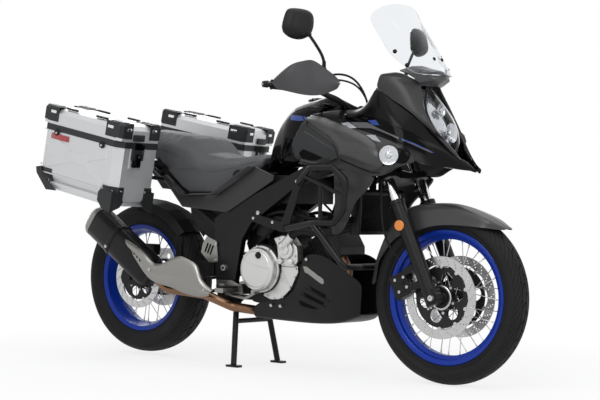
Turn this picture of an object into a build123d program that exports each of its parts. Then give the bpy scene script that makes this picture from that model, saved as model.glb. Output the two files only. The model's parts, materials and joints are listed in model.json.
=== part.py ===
from build123d import *
import os
from math import atan2, cos, degrees, hypot, pi, radians, sin, tan

# Adventure motorcycle with wire wheels and aluminium side cases, standing on its centre stand.
# Millimetres. X forward, Y to the rider's left, Z up; origin on the floor under the middle of the length.
# One STEP file per node. "Right" is -Y. Most shapes are drawn on the right and mirrored.

# ---------------------------------------------------------------- chassis geometry
FRONT_AXLE_X = 808.0
WHEELBASE = 1560.0
RAKE = 25.5               # steering axis from vertical, degrees
TRAIL = 109.0             # ground distance from the steering axis to the front contact patch
REAR_LIFT = 12.0          # rear tyre above the floor on the centre stand

# ---------------------------------------------------------------- wheels and tyres
FRONT_TYRE_R = 330.0
FRONT_TYRE_WIDTH = 110.0
FRONT_BEAD_R = 241.3      # 19 inch rim
FRONT_RIM_HALF = 38.0
REAR_TYRE_R = 321.0
REAR_TYRE_WIDTH = 150.0
REAR_BEAD_R = 215.9       # 17 inch rim
REAR_RIM_HALF = 57.0
RIM_FLANGE = 14.0
RIM_WALL = 4.0
RIM_WELL_DEPTH = 18.0
RIM_WELL_HALF = 13.0
TYRE_SHOULDER_DROP = 22.0
TYRE_SIDEWALL_DROP = 44.0
TYRE_WALL = 10.0
AXLE_R = 10.0
HUB_R = 28.0
HUB_FLANGE_R = 48.0
HUB_FLANGE_T = 6.0
FRONT_HUB_HALF = 64.0
REAR_HUB_HALF = 72.0
FRONT_FLANGE_Y = 30.0
REAR_FLANGE_Y = 36.0
SPOKE_R = 1.8
SPOKE_COUNT = 32
SPOKE_SWEEP = 50.0        # degrees between a spoke's hub end and its rim end
SPOKE_RIM_GAP = 1.0
FRONT_DISC_R = 155.0
FRONT_DISC_INNER_R = 112.0
FRONT_DISC_Y = 67.0
REAR_DISC_R = 130.0
REAR_DISC_INNER_R = 92.0
REAR_DISC_Y = 75.0
DISC_T = 5.0
CARRIER_T = 4.0
CARRIER_LAP = 4.0
CALIPER_AHEAD = -116.0    # front caliper from the axle, along and up the steering axes
CALIPER_UP = 108.0

# ---------------------------------------------------------------- fork and bars
FORK_LEG_Y = 103.0
FORK_OFFSET = 29.0        # legs ahead of the steering axis
LOWER_LEG_R = 28.0
STANCHION_R = 21.5
LEG_BOTTOM = 322.0        # heights along the steering axis from the floor point
LEG_TOP = 748.0
LOWER_CLAMP = 838.0
UPPER_CLAMP = 1058.0
CLAMP_T = 26.0
STEM_R = 16.5
HEAD_TUBE_R = 31.0
BAR_R = 11.0
BAR_CENTRE = (405.0, 1036.0)
BAR_END = (252.0, 432.0, 1118.0)
GRIP_R = 16.5
GRIP_LENGTH = 122.0

# ---------------------------------------------------------------- frame, engine and swingarm
SPAR_OUT = 148.0          # outer face of the frame spars from the centre plane
SPAR_T = 28.0
PIVOT = (-195.0, 400.0)
PIVOT_TUBE_R = 27.0
PIVOT_BOLT_R = 9.0
ENGINE_HALF = 116.0
CRANK = (95.0, 395.0)
CYLINDER_HALF = 62.0
ARM_IN = 100.0
ARM_T = 28.0
SPROCKET_R = 119.0
SPROCKET_Y = 89.0
SPROCKET_T = 7.0
DRIVE_SPROCKET = (-112.0, 415.0)
DRIVE_SPROCKET_R = 38.0
CHAIN_HEIGHT = 14.0
CHAIN_WIDTH = 12.0

# ---------------------------------------------------------------- side cases
CASE_LENGTH = 487.5
CASE_WIDTH = 217.7
CASE_HEIGHT = 247.0
LID_HEIGHT = 70.0
CASE_WALL = 2.0
CASE_CHAMFER = 32.0
CASE_FRONT_X = -463.4
CASE_INNER_Y = 265.7
CASE_RIM_Z = 902.7
CASE_PITCH = 10.64        # rear end higher, degrees
CASE_TOE = 3.21           # rear ends closer together, degrees
LEFT_CASE_RAISE = 16.9    # the left case sits higher on its carrier
CASE_RACK_R = 9.0
LID_HINGE_R = 7.0
LID_HINGE_PIN_R = 3.0
LID_HINGE_SET = 8.5       # hinge line behind the case's rear face

# ---------------------------------------------------------------- stands and rests
STAND_PIVOT = (-172.0, 262.0)
STAND_TUBE_R = 12.0
STAND_TOP_Y = 95.0
STAND_FOOT_Y = 142.0
STAND_FOOT_X = -140.0
SIDE_STAND_PIVOT = (-118.0, 176.0, 262.0)
SIDE_STAND_LENGTH = 262.0
SIDE_STAND_R = 11.0

SCREEN_T = 4.0
GAP = 0.3                 # seat clearance between pieces that meet
STEER_LOCK = 38.0         # each way, degrees
SWING_CLEAR = 6.0         # room left for what turns with the bar
PANEL_T = 12.0            # moulded cowls

FRONT_AXLE_Z = FRONT_TYRE_R
REAR_AXLE_X = FRONT_AXLE_X - WHEELBASE
REAR_AXLE_Z = REAR_TYRE_R + REAR_LIFT
STEER_FLOOR_X = FRONT_AXLE_X + TRAIL
STEER_S = sin(radians(RAKE))
STEER_C = cos(radians(RAKE))

NODES = {}


# ---------------------------------------------------------------- shape helpers
def node(name, *solids):
    """Collect the solids of one node."""
    NODES[name] = [s for shape in solids for s in shape.solids()]


def mirrored(shape):
    return mirror(shape, about=Plane.XZ)


def block(x, y, z):
    """Box from three (low, high) pairs."""
    size = [b - a for a, b in (x, y, z)]
    return Pos(*[(a + b) / 2 for a, b in (x, y, z)]) * Box(*size)


def side_plate(points, y_low, y_high, corner=0):
    """Outline in X and Z, from y_low to y_high."""
    path = FilletPolyline(*points, radius=corner, close=True) if corner else Polyline(*points, close=True)
    plane = Plane(origin=(0, y_high, 0), x_dir=(1, 0, 0), z_dir=(0, -1, 0))
    return extrude(plane * make_face(path), y_high - y_low)


def plan_plate(points, z_low, z_high, corner=0):
    """Outline in X and Y, from z_low to z_high."""
    path = FilletPolyline(*points, radius=corner, close=True) if corner else Polyline(*points, close=True)
    return extrude(Pos(0, 0, z_low) * make_face(path), z_high - z_low)


def rod(start, end, radius):
    start, end = Vector(*start), Vector(*end)
    return extrude(Plane(origin=start, z_dir=end - start) * Circle(radius), (end - start).length)


def cross_rod(x, z, radius, y_low, y_high):
    """Rod along Y."""
    return rod((x, y_low, z), (x, y_high, z), radius)


def bent_tube(points, radius, bend):
    path = FilletPolyline(*points, radius=bend)
    return sweep(Plane(origin=path @ 0, z_dir=path % 0) * Circle(radius), path=path)


def turned(profile, x, z):
    """Revolve a closed outline of (radius, y) points about the Y line through x, z."""
    return Pos(x, 0, z) * revolve(make_face(Polyline(*profile, close=True)), Axis.Y)


def triangle(a, b, c):
    return Face(Wire.make_polygon([a, b, c], close=True))


def closed_solid(faces):
    """Solid inside a closed set of faces, turned right side out."""
    solid = Solid(Shell(faces))
    return solid if solid.volume > 0 else Solid(Shell([-face for face in faces]))


def slab(grid, shift):
    """Closed solid between a grid of points and the same grid moved by shift."""
    move = Vector(*shift)
    near = [[Vector(*p) for p in row] for row in grid]
    far = [[p + move for p in row] for row in near]
    rows, columns = len(near), len(near[0])
    faces = []
    for layer in (near, far):
        for i in range(rows - 1):
            for j in range(columns - 1):
                faces.append(triangle(layer[i][j], layer[i + 1][j], layer[i + 1][j + 1]))
                faces.append(triangle(layer[i][j], layer[i + 1][j + 1], layer[i][j + 1]))
    rim = near[0] + [row[-1] for row in near[1:]] + near[-1][-2::-1] + [row[0] for row in near[-2:0:-1]]
    for p, q in zip(rim, rim[1:] + rim[:1]):
        faces.append(Face(Wire.make_polygon([p, q, q + move, p + move], close=True)))
    return closed_solid(faces)


def skin(outer, inner):
    """Closed solid between two grids of points, each with as many rows and columns as the other."""
    layers = [[[Vector(*p) for p in row] for row in grid] for grid in (outer, inner)]
    rows, columns = len(outer), len(outer[0])
    faces = []
    for layer in layers:
        for i in range(rows - 1):
            for j in range(columns - 1):
                faces.append(triangle(layer[i][j], layer[i + 1][j], layer[i + 1][j + 1]))
                faces.append(triangle(layer[i][j], layer[i + 1][j + 1], layer[i][j + 1]))
    rims = [grid[0] + [row[-1] for row in grid[1:]] + grid[-1][-2::-1] + [row[0] for row in grid[-2:0:-1]]
            for grid in layers]
    count = len(rims[0])
    for i in range(count):
        k = (i + 1) % count
        faces.append(triangle(rims[0][i], rims[0][k], rims[1][k]))
        faces.append(triangle(rims[0][i], rims[1][k], rims[1][i]))
    return closed_solid(faces)


def tube_skin(stations):
    """Closed solid through rings of points, each ring with as many points as the next."""
    rings = [[Vector(*p) for p in ring] for ring in stations]
    count = len(rings[0])
    faces = []
    for low, high in zip(rings, rings[1:]):
        for i in range(count):
            k = (i + 1) % count
            faces.append(triangle(low[i], low[k], high[k]))
            faces.append(triangle(low[i], high[k], high[i]))
    for ring in (rings[0], rings[-1]):
        for i in range(1, count - 1):
            faces.append(triangle(ring[0], ring[i], ring[i + 1]))
    return closed_solid(faces)


def mirrored_ring(half):
    """Close a ring whose half runs over the right side, from the top middle to the bottom middle."""
    other = [(x, -y, z) for x, y, z in reversed(half) if abs(y) > 1e-6]
    return list(half) + other


def largest(shape):
    return max(shape.solids(), key=lambda s: s.volume)


def steer(x, y, height):
    """World point from a point ahead of the steering axis, across, and up along it."""
    return (STEER_FLOOR_X + x * STEER_C - height * STEER_S, y, x * STEER_S + height * STEER_C)


STEER = Plane(origin=(STEER_FLOOR_X, 0, 0), x_dir=(STEER_C, 0, STEER_S),
              z_dir=(-STEER_S, 0, STEER_C)).location
AXLE_AHEAD = -TRAIL * STEER_C + FRONT_AXLE_Z * STEER_S
AXLE_HEIGHT = TRAIL * STEER_S + FRONT_AXLE_Z * STEER_C


# ---------------------------------------------------------------- wheels
def tyre(radius, width, bead_r, rim_half):
    half = width / 2
    bead_y = rim_half - RIM_WALL - GAP
    outer = [(bead_r + GAP, bead_y), (bead_r + RIM_FLANGE + 2, bead_y), (radius - TYRE_SIDEWALL_DROP, half),
             (radius - TYRE_SHOULDER_DROP, 0.86 * half), (radius - TYRE_SHOULDER_DROP / 4, 0.45 * half)]
    inner = [(radius - TYRE_WALL, 0), (radius - TYRE_SIDEWALL_DROP, half - TYRE_WALL),
             (bead_r + GAP, bead_y - TYRE_WALL)]
    over = outer + [(radius, 0)] + [(r, -y) for r, y in reversed(outer)]
    under = [(r, -y) for r, y in reversed(inner[1:])] + inner
    return over + under


def rim(bead_r, half):
    seat = half - RIM_WALL
    well = bead_r - RIM_WELL_DEPTH
    outer = [(bead_r + RIM_FLANGE, half), (bead_r + RIM_FLANGE, seat), (bead_r, seat),
             (bead_r, seat - TYRE_WALL - 3), (well, RIM_WELL_HALF)]
    inner = [(well - RIM_WALL, RIM_WELL_HALF + 2), (bead_r - RIM_WALL, seat - TYRE_WALL), (bead_r - RIM_WALL, half)]
    over = outer + [(r, -y) for r, y in reversed(outer)]
    under = [(r, -y) for r, y in reversed(inner)] + inner
    return over + under


def spokes(x, z, bead_r, flange_y):
    """Spokes alternate from flange to flange and lean forward and back in turn."""
    rim_r = bead_r - RIM_WELL_DEPTH - RIM_WALL - SPOKE_RIM_GAP
    hub_r = HUB_FLANGE_R - 1
    wires = []
    for k in range(SPOKE_COUNT):
        side = 1 if k % 2 else -1
        lean = 1 if (k // 2) % 2 else -1
        rim_a = radians(360 / SPOKE_COUNT * k)
        hub_a = rim_a - lean * radians(SPOKE_SWEEP)
        hub_end = (x + hub_r * cos(hub_a), side * (flange_y + HUB_FLANGE_T / 2 * lean), z + hub_r * sin(hub_a))
        rim_end = (x + rim_r * cos(rim_a), side * (RIM_WELL_HALF - 6), z + rim_r * sin(rim_a))
        wires.append(rod(hub_end, rim_end, SPOKE_R))
    return wires


def hub(x, z, half, flange_y, carriers):
    """Barrel with two spoke flanges; carriers lists (y low, y high, outer radius) of disc carriers."""
    body = cross_rod(x, z, HUB_R, -half, half)
    for side in (-1, 1):
        body += cross_rod(x, z, HUB_FLANGE_R, side * flange_y - HUB_FLANGE_T, side * flange_y + HUB_FLANGE_T)
    for low, high, outer_r in carriers:
        plate = cross_rod(x, z, outer_r, low, high)
        window_r = (outer_r - HUB_R) * 0.34
        ring_r = (outer_r + HUB_R) * 0.51
        for k in range(6):
            a = radians(60 * k)
            plate -= cross_rod(x + ring_r * cos(a), z + ring_r * sin(a), window_r, low - 1, high + 1)
        body += plate
    return body - cross_rod(x, z, AXLE_R + GAP, -half - 1, half + 1)


def ring_plate(x, z, outer_r, inner_r, y, thickness):
    low, high = y - thickness / 2, y + thickness / 2
    return cross_rod(x, z, outer_r, low, high) - cross_rod(x, z, inner_r, low - 1, high + 1)


def wheels():
    x, z = FRONT_AXLE_X, FRONT_AXLE_Z
    node("front_tyre", turned(tyre(FRONT_TYRE_R, FRONT_TYRE_WIDTH, FRONT_BEAD_R, FRONT_RIM_HALF), x, z))
    node("front_rim", turned(rim(FRONT_BEAD_R, FRONT_RIM_HALF), x, z))
    carrier_high = FRONT_DISC_Y - DISC_T / 2 - GAP
    carrier_low = carrier_high - CARRIER_T
    carrier_r = FRONT_DISC_INNER_R + CARRIER_LAP
    body = hub(x, z, carrier_high, FRONT_FLANGE_Y,
               [(carrier_low, carrier_high, carrier_r), (-carrier_high, -carrier_low, carrier_r)])
    node("front_hub", body.fuse(*spokes(x, z, FRONT_BEAD_R, FRONT_FLANGE_Y)))
    disc = ring_plate(x, z, FRONT_DISC_R, FRONT_DISC_INNER_R, FRONT_DISC_Y, DISC_T)
    node("front_discs", disc, mirrored(disc))

    x, z = REAR_AXLE_X, REAR_AXLE_Z
    node("rear_tyre", turned(tyre(REAR_TYRE_R, REAR_TYRE_WIDTH, REAR_BEAD_R, REAR_RIM_HALF), x, z))
    node("rear_rim", turned(rim(REAR_BEAD_R, REAR_RIM_HALF), x, z))
    disc_face = REAR_DISC_Y - DISC_T / 2 - GAP
    sprocket_face = SPROCKET_Y - SPROCKET_T / 2 - GAP
    body = hub(x, z, disc_face, REAR_FLANGE_Y,
               [(-disc_face, CARRIER_T - disc_face, REAR_DISC_INNER_R + CARRIER_LAP)])
    carrier = cross_rod(x, z, HUB_FLANGE_R + 14, disc_face - 10, sprocket_face)
    carrier -= cross_rod(x, z, AXLE_R + GAP, 0, sprocket_face + 1)
    node("rear_hub", (body + carrier).fuse(*spokes(x, z, REAR_BEAD_R, REAR_FLANGE_Y)))
    sprocket = ring_plate(x, z, SPROCKET_R - 7, AXLE_R + 12, SPROCKET_Y, SPROCKET_T)
    for k in range(5):
        a = radians(72 * k)
        sprocket -= cross_rod(x + 84 * cos(a), z + 84 * sin(a), 17, SPROCKET_Y - 9, SPROCKET_Y + 9)
    node("rear_disc_and_sprocket", ring_plate(x, z, REAR_DISC_R, REAR_DISC_INNER_R, -REAR_DISC_Y, DISC_T), sprocket)


# ---------------------------------------------------------------- fork, bars and front fender
def fork():
    legs, tubes = [], []
    boss_y = (FRONT_DISC_Y + DISC_T / 2 + 8, FORK_LEG_Y + 22)
    for side in (-1, 1):
        y = side * FORK_LEG_Y
        leg = rod((FORK_OFFSET, y, LEG_BOTTOM + 12), (FORK_OFFSET, y, LEG_TOP), LOWER_LEG_R)
        leg += rod((FORK_OFFSET, y, LEG_TOP - 16), (FORK_OFFSET, y, LEG_TOP), LOWER_LEG_R + 3)
        near, far = sorted((side * boss_y[0], side * boss_y[1]))
        leg += block((FORK_OFFSET - 20, AXLE_AHEAD + 18), (near, far), (LEG_BOTTOM, LEG_BOTTOM + 56))
        leg += cross_rod(AXLE_AHEAD, AXLE_HEIGHT, 25, near, far)
        lug_in, lug_out = sorted((side * (FORK_LEG_Y - 6), side * (FORK_LEG_Y + 8)))
        leg += block((FORK_OFFSET - 74, FORK_OFFSET), (lug_in, lug_out), (AXLE_HEIGHT + CALIPER_UP + 20, AXLE_HEIGHT + CALIPER_UP + 46))
        leg += block((FORK_OFFSET - 74, FORK_OFFSET), (lug_in, lug_out), (AXLE_HEIGHT + CALIPER_UP - 46, AXLE_HEIGHT + CALIPER_UP - 20))
        legs.append(STEER * leg)
        tubes.append(STEER * rod((FORK_OFFSET, y, LEG_TOP + GAP), (FORK_OFFSET, y, UPPER_CLAMP + CLAMP_T + 10),
                                 STANCHION_R))
    axle_y = FORK_LEG_Y + 30
    axle = cross_rod(FRONT_AXLE_X, FRONT_AXLE_Z, AXLE_R, -axle_y, axle_y)
    node("fork_lowers", legs[0] + legs[1] + axle)
    node("fork_tubes", *tubes)

    yoke = [(-34, -48), (-34, 48), (FORK_OFFSET - 22, FORK_LEG_Y + 34), (FORK_OFFSET + 24, FORK_LEG_Y + 34),
            (FORK_OFFSET + 34, FORK_LEG_Y), (FORK_OFFSET + 14, 40), (FORK_OFFSET + 14, -40),
            (FORK_OFFSET + 34, -FORK_LEG_Y), (FORK_OFFSET + 24, -FORK_LEG_Y - 34),
            (FORK_OFFSET - 22, -FORK_LEG_Y - 34)]
    clamps = plan_plate(yoke, LOWER_CLAMP, LOWER_CLAMP + CLAMP_T)
    clamps += plan_plate(yoke, UPPER_CLAMP, UPPER_CLAMP + CLAMP_T)
    clamps += rod((0, 0, LOWER_CLAMP), (0, 0, UPPER_CLAMP + 4), STEM_R)
    for side in (-1, 1):
        clamps -= rod((FORK_OFFSET, side * FORK_LEG_Y, LOWER_CLAMP - 1),
                      (FORK_OFFSET, side * FORK_LEG_Y, UPPER_CLAMP + CLAMP_T + 1), STANCHION_R + GAP)
    node("triple_clamps", STEER * clamps)


def calipers():
    """Each caliper straddles its disc behind the leg."""
    x, height = AXLE_AHEAD + CALIPER_AHEAD, AXLE_HEIGHT + CALIPER_UP
    bodies = []
    for side in (-1, 1):
        inner, outer = FRONT_DISC_Y - DISC_T / 2 - 6, FRONT_DISC_Y + DISC_T / 2 + 3
        y_in = sorted((side * (inner - 14), side * inner))
        y_out = sorted((side * outer, side * (FORK_LEG_Y - 6 - GAP)))
        y_all = sorted((side * (inner - 14), side * (FORK_LEG_Y - 6 - GAP)))
        body = block((x - 26, x + 22), y_out, (height - 48, height + 44))
        body += block((x - 26, x + 22), y_in, (height - 28, height + 36))
        body += block((x - 32, x - 26), y_out, (height - 48, height + 44))
        body += block((x - 32, x - 26), y_in, (height - 28, height + 36))
        body += block((x - 56, x - 32), y_all, (height - 48, height + 44))
        ear = block((x + 22, FORK_OFFSET - 46), sorted((side * outer, side * (FORK_LEG_Y - 6 - GAP))),
                    (AXLE_HEIGHT + CALIPER_UP - 44, AXLE_HEIGHT + CALIPER_UP - 22))
        ear += block((x + 22, FORK_OFFSET - 46), sorted((side * outer, side * (FORK_LEG_Y - 6 - GAP))),
                     (AXLE_HEIGHT + CALIPER_UP + 22, AXLE_HEIGHT + CALIPER_UP + 44))
        bodies.append(STEER * (body + ear))
    node("front_calipers", *bodies)
    disc_low, disc_high = REAR_DISC_Y - DISC_T / 2 - 3, REAR_DISC_Y + DISC_T / 2 + 3
    x, z = REAR_AXLE_X + 70, REAR_AXLE_Z + 96
    rear = block((x - 44, x + 40), (-ARM_IN + GAP, -disc_high), (z - 26, z + 38))
    rear += block((x - 44, x + 40), (-disc_high, -disc_high + 1), (z + 29, z + 38))
    rear += block((x - 44, x + 40), (-disc_low, -disc_low + 12), (z + 6, z + 38))
    rear += block((x - 44, x + 40), (-ARM_IN + GAP, -disc_low + 12), (z + 37, z + 52))
    rear += block((REAR_AXLE_X + 34, REAR_AXLE_X + 62), (-ARM_IN + GAP, -disc_high), (REAR_AXLE_Z - 14, z - 20))
    node("rear_caliper", rear)


def bar_point(t):
    """Point on the right grip, t from 0 at the bar end to 1 at the inner end of the straight."""
    inner = BAR_BEND_OUT
    end = (BAR_END[0], -BAR_END[1], BAR_END[2])
    return tuple(a + (b - a) * t for a, b in zip(end, inner))


BAR_BEND_OUT = (338.0, -255.0, 1108.0)
BAR_BEND_IN = (402.0, -92.0, 1042.0)


def handlebar():
    x, z = BAR_CENTRE
    right = [bar_point(0), BAR_BEND_OUT, BAR_BEND_IN, (x, -58.0, z)]
    left = [(px, -py, pz) for px, py, pz in reversed(right)]
    bar = bent_tube(right + left, BAR_R, 34)
    for side in (-1, 1):
        ahead = (x - STEER_FLOOR_X) * STEER_C + z * STEER_S
        foot = steer(ahead, side * 36, UPPER_CLAMP + CLAMP_T + GAP)
        top = (x, side * 36, z)
        bar += rod(foot, top, 13)
        bar += cross_rod(x, z, 19, side * 36 - 15, side * 36 + 15)
    node("handlebar", bar)
    along = Vector(*BAR_BEND_OUT) - Vector(*bar_point(0))
    along = along.normalized()
    end = Vector(*bar_point(0))

    def sleeve(start, length, radius):
        first = end + along * start
        last = end + along * (start + length)
        return rod(first.to_tuple(), last.to_tuple(), radius) - rod(
            (first - along).to_tuple(), (last + along).to_tuple(), BAR_R + GAP)

    grip = sleeve(14, GRIP_LENGTH, GRIP_R)
    pod = sleeve(14 + GRIP_LENGTH + 1, 46, 21)
    centre = end + along * (14 + GRIP_LENGTH + 30)
    pod += rod(centre.to_tuple(), (centre + Vector(48, -14, 26)).to_tuple(), 9) - rod(
        (centre - along * 40).to_tuple(), (centre + along * 40).to_tuple(), BAR_R + GAP)
    tank = centre + Vector(52, -10, 30)
    pod += block((tank.X - 22, tank.X + 24), (tank.Y - 30, tank.Y + 30), (tank.Z - 12, tank.Z + 26))
    lever_root = centre + Vector(40, -18, 4)
    pod += rod((centre + Vector(20, -8, 4)).to_tuple(), lever_root.to_tuple(), 8)
    pod += rod(lever_root.to_tuple(), (lever_root + Vector(-42, -120, 8)).to_tuple(), 6)
    pod -= rod((centre - along * 60).to_tuple(), (centre + along * 60).to_tuple(), BAR_R + GAP)
    pod = largest(pod)
    node("bar_controls", pod, mirrored(pod), grip, mirrored(grip))
    return end, along, tank


def hand_guards(end, along):
    """Moulded shells in front of the grips, carried by the bar ends."""
    #        outer edge         over the grip to the inner edge
    grid = [[(296, -446, 1136), (360, -430, 1186), (386, -395, 1203), (396, -350, 1208), (422, -310, 1182),
             (448, -262, 1146)],
            [(290, -448, 1118), (352, -446, 1140), (392, -404, 1142), (410, -352, 1140), (434, -310, 1134),
             (462, -262, 1128)],
            [(306, -442, 1099), (351, -430, 1089), (388, -397, 1078), (408, -350, 1077), (428, -310, 1086),
             (452, -262, 1108)]]
    shell = slab(grid, (-6, 5, 0))
    tab = rod((end - along * GAP).to_tuple(), (end - along * 22).to_tuple(), 13)
    arm = rod((end - along * 12).to_tuple(), (300, -444, 1118), 7) - rod(
        (end - along * GAP).to_tuple(), (end + along * 40).to_tuple(), BAR_R + 2)
    guard = shell + tab + arm
    return guard


def mirrors(tank):
    """Oval mirror heads on stems from the control clamps."""
    cx, cy, cz = 366.0, -402.0, 1342.0
    #          across   height  depth
    outline = [(-38, 58), (44, 58), (69, 35), (69, -8), (54, -40), (9, -58), (-40, -50), (-69, -27), (-64, 0),
               (-50, 40)]
    rings = []
    for depth, scale in ((-14, 1.0), (6, 1.0), (30, 0.66)):
        rings.append([(cx + depth + 0.18 * a * scale, cy + a * scale, cz + b * scale) for a, b in outline])
    head = tube_skin(rings)
    foot = (tank.X + 14, tank.Y + 22, tank.Z + 26 + GAP)
    stem = bent_tube([foot, (foot[0], foot[1], foot[2] + 54), (cx + 9, cy + 44, cz - 28)], 6, 24)
    mirror_piece = head + stem
    return mirror_piece


def front_fender():
    """Ridged fender with a beak at its tip and a flap behind the tyre, held by the fork legs."""
    #       ridge x  ridge z  shoulder y  edge x  edge y  edge z
    rows = [(1062, 597, 18, 1052, 26, 588), (1020, 618, 42, 1004, 54, 594), (974, 640, 52, 964, 68, 598),
            (863, 676, 54, 862, 71, 603), (759, 683, 56, 757, 72, 595), (659, 674, 54, 676, 70, 572),
            (590, 640, 52, 614, 67, 556), (532, 560, 52, 566, 66, 520), (495, 470, 50, 516, 65, 456),
            (482, 425, 48, 508, 64, 418), (470, 372, 46, 492, 62, 362)]
    outer, inner = [], []
    for rx, rz, shoulder, ex, edge, ez in rows:
        sx, sz = rx + 0.16 * (ex - rx), rz + 0.16 * (ez - rz)
        outer.append([(ex, -edge, ez), (sx, -shoulder, sz), (rx, 0, rz), (sx, shoulder, sz), (ex, edge, ez)])
        inner.append([(FRONT_AXLE_X + (x - FRONT_AXLE_X) * 0.986, y * 0.95, FRONT_AXLE_Z + (z - FRONT_AXLE_Z) * 0.986)
                      for x, y, z in outer[-1]])
    shell = skin(outer, inner)
    for side in (-1, 1):
        lug_y = sorted((side * 66, side * (FORK_LEG_Y - LOWER_LEG_R - GAP)))
        shell += block((652, 684), lug_y, (588, 612))
    node("front_fender", shell)


# ---------------------------------------------------------------- frame and running gear
def main_frame():
    spar = [(-255, 600), (-200, 632), (160, 792), (462, 930), (508, 908), (474, 838), (170, 738), (-60, 586),
            (-106, 520), (-138, 352), (-140, 246), (-205, 246), (-236, 300), (-250, 480)]
    plan = [(-260, SPAR_OUT - SPAR_T), (-260, SPAR_OUT), (240, SPAR_OUT), (520, 50), (520, 10), (440, 10),
            (230, SPAR_OUT - SPAR_T)]
    left = side_plate(spar, 0, SPAR_OUT, corner=9) & plan_plate(plan, 200, 1000)
    frame = left + mirrored(left)
    frame += STEER * rod((0, 0, LOWER_CLAMP + CLAMP_T + GAP), (0, 0, UPPER_CLAMP - GAP), HEAD_TUBE_R)
    frame += cross_rod(-232, 560, 16, -SPAR_OUT + 4, SPAR_OUT - 4)
    frame += cross_rod(-205, 300, 13, -SPAR_OUT + 4, SPAR_OUT - 4)
    frame -= STEER * rod((0, 0, LOWER_CLAMP), (0, 0, UPPER_CLAMP + CLAMP_T), STEM_R + GAP)
    for side in (-1, 1):
        y = side * FORK_LEG_Y
        for share in (0.8, 1):
            swing = Rot(0, 0, side * STEER_LOCK * share)
            frame -= STEER * (swing * rod((FORK_OFFSET, y, LOWER_CLAMP), (FORK_OFFSET, y, UPPER_CLAMP + CLAMP_T),
                                          STANCHION_R + SWING_CLEAR))
    bolt_y = SPAR_OUT + 7
    frame += cross_rod(PIVOT[0], PIVOT[1], PIVOT_BOLT_R, -bolt_y, bolt_y)
    for side in (-1, 1):
        frame += cross_rod(STAND_PIVOT[0], STAND_PIVOT[1], PIVOT_BOLT_R, *sorted((side * bolt_y, side * (STAND_TOP_Y - 13))))
    node("main_frame", frame)
    return frame


def subframe(extra=0):
    """Seat rails and their struts, fatter by extra when used to cut a seat for them."""
    y = SPAR_OUT - SPAR_T / 2
    upper = [(-142, y, 651), (-230, 112, 700), (-480, 108, 770), (-780, 92, 841)]
    lower = [(-236, y, 560), (-330, 116, 610), (-520, 110, 722), (-645, 101, 809)]
    rail = bent_tube(upper, 12 + extra, 60) + bent_tube(lower, 10 + extra, 60)
    rails = rail + mirrored(rail)
    for x, z, half in ((-480, 770, 108), (-745, 832, 93)):
        rails += cross_rod(x, z, 10 + extra, -half, half)
    return rails


def swingarm():
    px, pz = PIVOT
    half = SPAR_OUT - SPAR_T - GAP
    arm_side = [(px - 10, pz + 34), (px - 190, pz + 22), (REAR_AXLE_X + 40, REAR_AXLE_Z + 30),
                (REAR_AXLE_X - 42, REAR_AXLE_Z + 30), (REAR_AXLE_X - 54, REAR_AXLE_Z),
                (REAR_AXLE_X - 42, REAR_AXLE_Z - 28), (REAR_AXLE_X + 40, REAR_AXLE_Z - 30),
                (px - 190, pz - 52), (px - 10, pz - 30)]
    arms = side_plate(arm_side, ARM_IN, ARM_IN + ARM_T, corner=10)
    arms &= block((-1000, px + 30), (ARM_IN, half), (0, 600)) + block((-1000, -270), (ARM_IN, ARM_IN + ARM_T), (0, 600))
    arms += mirrored(arms)
    arms += cross_rod(px, pz, PIVOT_TUBE_R, -half, half)
    arms += block((-372, -300), (-ARM_IN - 4, ARM_IN + 4), (pz - 34, pz + 8))
    arms += block((-320, -296), (-14, 14), (pz + 6, pz + 40))
    arms -= cross_rod(px, pz, PIVOT_BOLT_R + GAP, -half - 1, half + 1)
    axle_y = ARM_IN + ARM_T + 8
    arms += cross_rod(REAR_AXLE_X, REAR_AXLE_Z, AXLE_R, -axle_y, axle_y)
    node("swingarm", arms + chain_guard())


def rear_shock():
    """Coil-over unit from the swingarm bracket up to the frame's cross tube."""
    foot, top = Vector(-308, 0, PIVOT[1] + 40 + GAP), Vector(-236, 0, 560 - 16 - GAP)
    direction = (top - foot).normalized()
    length = (top - foot).length

    def at(d):
        return (foot + direction * d).to_tuple()
    shock = rod(at(9), at(length - 9), 14)
    for k in range(5):
        shock += rod(at(22 + 16 * k), at(30 + 16 * k), 30)
    shock += block((foot.X - 12, foot.X + 12), (-13, 13), (foot.Z, foot.Z + 16))
    node("rear_shock", shock)


def chain():
    """Chain loop round both sprockets, and the drive sprocket inside it."""
    (fx, fz), fr = DRIVE_SPROCKET, DRIVE_SPROCKET_R
    rx, rz, rr = REAR_AXLE_X, REAR_AXLE_Z, SPROCKET_R
    slope = atan2(rz - fz, fx - rx)
    spread = atan2(rr - fr, hypot(fx - rx, fz - rz))
    upper_a, lower_a = pi / 2 - spread + slope * -1, -pi / 2 + spread - slope

    def around(offset):
        top_f = (fx + (fr + offset) * cos(upper_a), fz + (fr + offset) * sin(upper_a))
        top_r = (rx + (rr + offset) * cos(upper_a), rz + (rr + offset) * sin(upper_a))
        low_r = (rx + (rr + offset) * cos(lower_a), rz + (rr + offset) * sin(lower_a))
        low_f = (fx + (fr + offset) * cos(lower_a), fz + (fr + offset) * sin(lower_a))
        line = Line(top_f, top_r) + ThreePointArc(top_r, (rx - rr - offset, rz), low_r)
        line += Line(low_r, low_f) + ThreePointArc(low_f, (fx + fr + offset, fz), top_f)
        return make_face(line)
    plane = Plane(origin=(0, SPROCKET_Y + CHAIN_WIDTH / 2, 0), x_dir=(1, 0, 0), z_dir=(0, -1, 0))
    loop = extrude(plane * around(CHAIN_HEIGHT / 2), CHAIN_WIDTH) - extrude(plane * around(-CHAIN_HEIGHT / 2),
                                                                              CHAIN_WIDTH)
    node("chain", loop, cross_rod(fx, fz, fr - CHAIN_HEIGHT / 2 - GAP, SPROCKET_Y - 8, SPROCKET_Y + 8))


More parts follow.
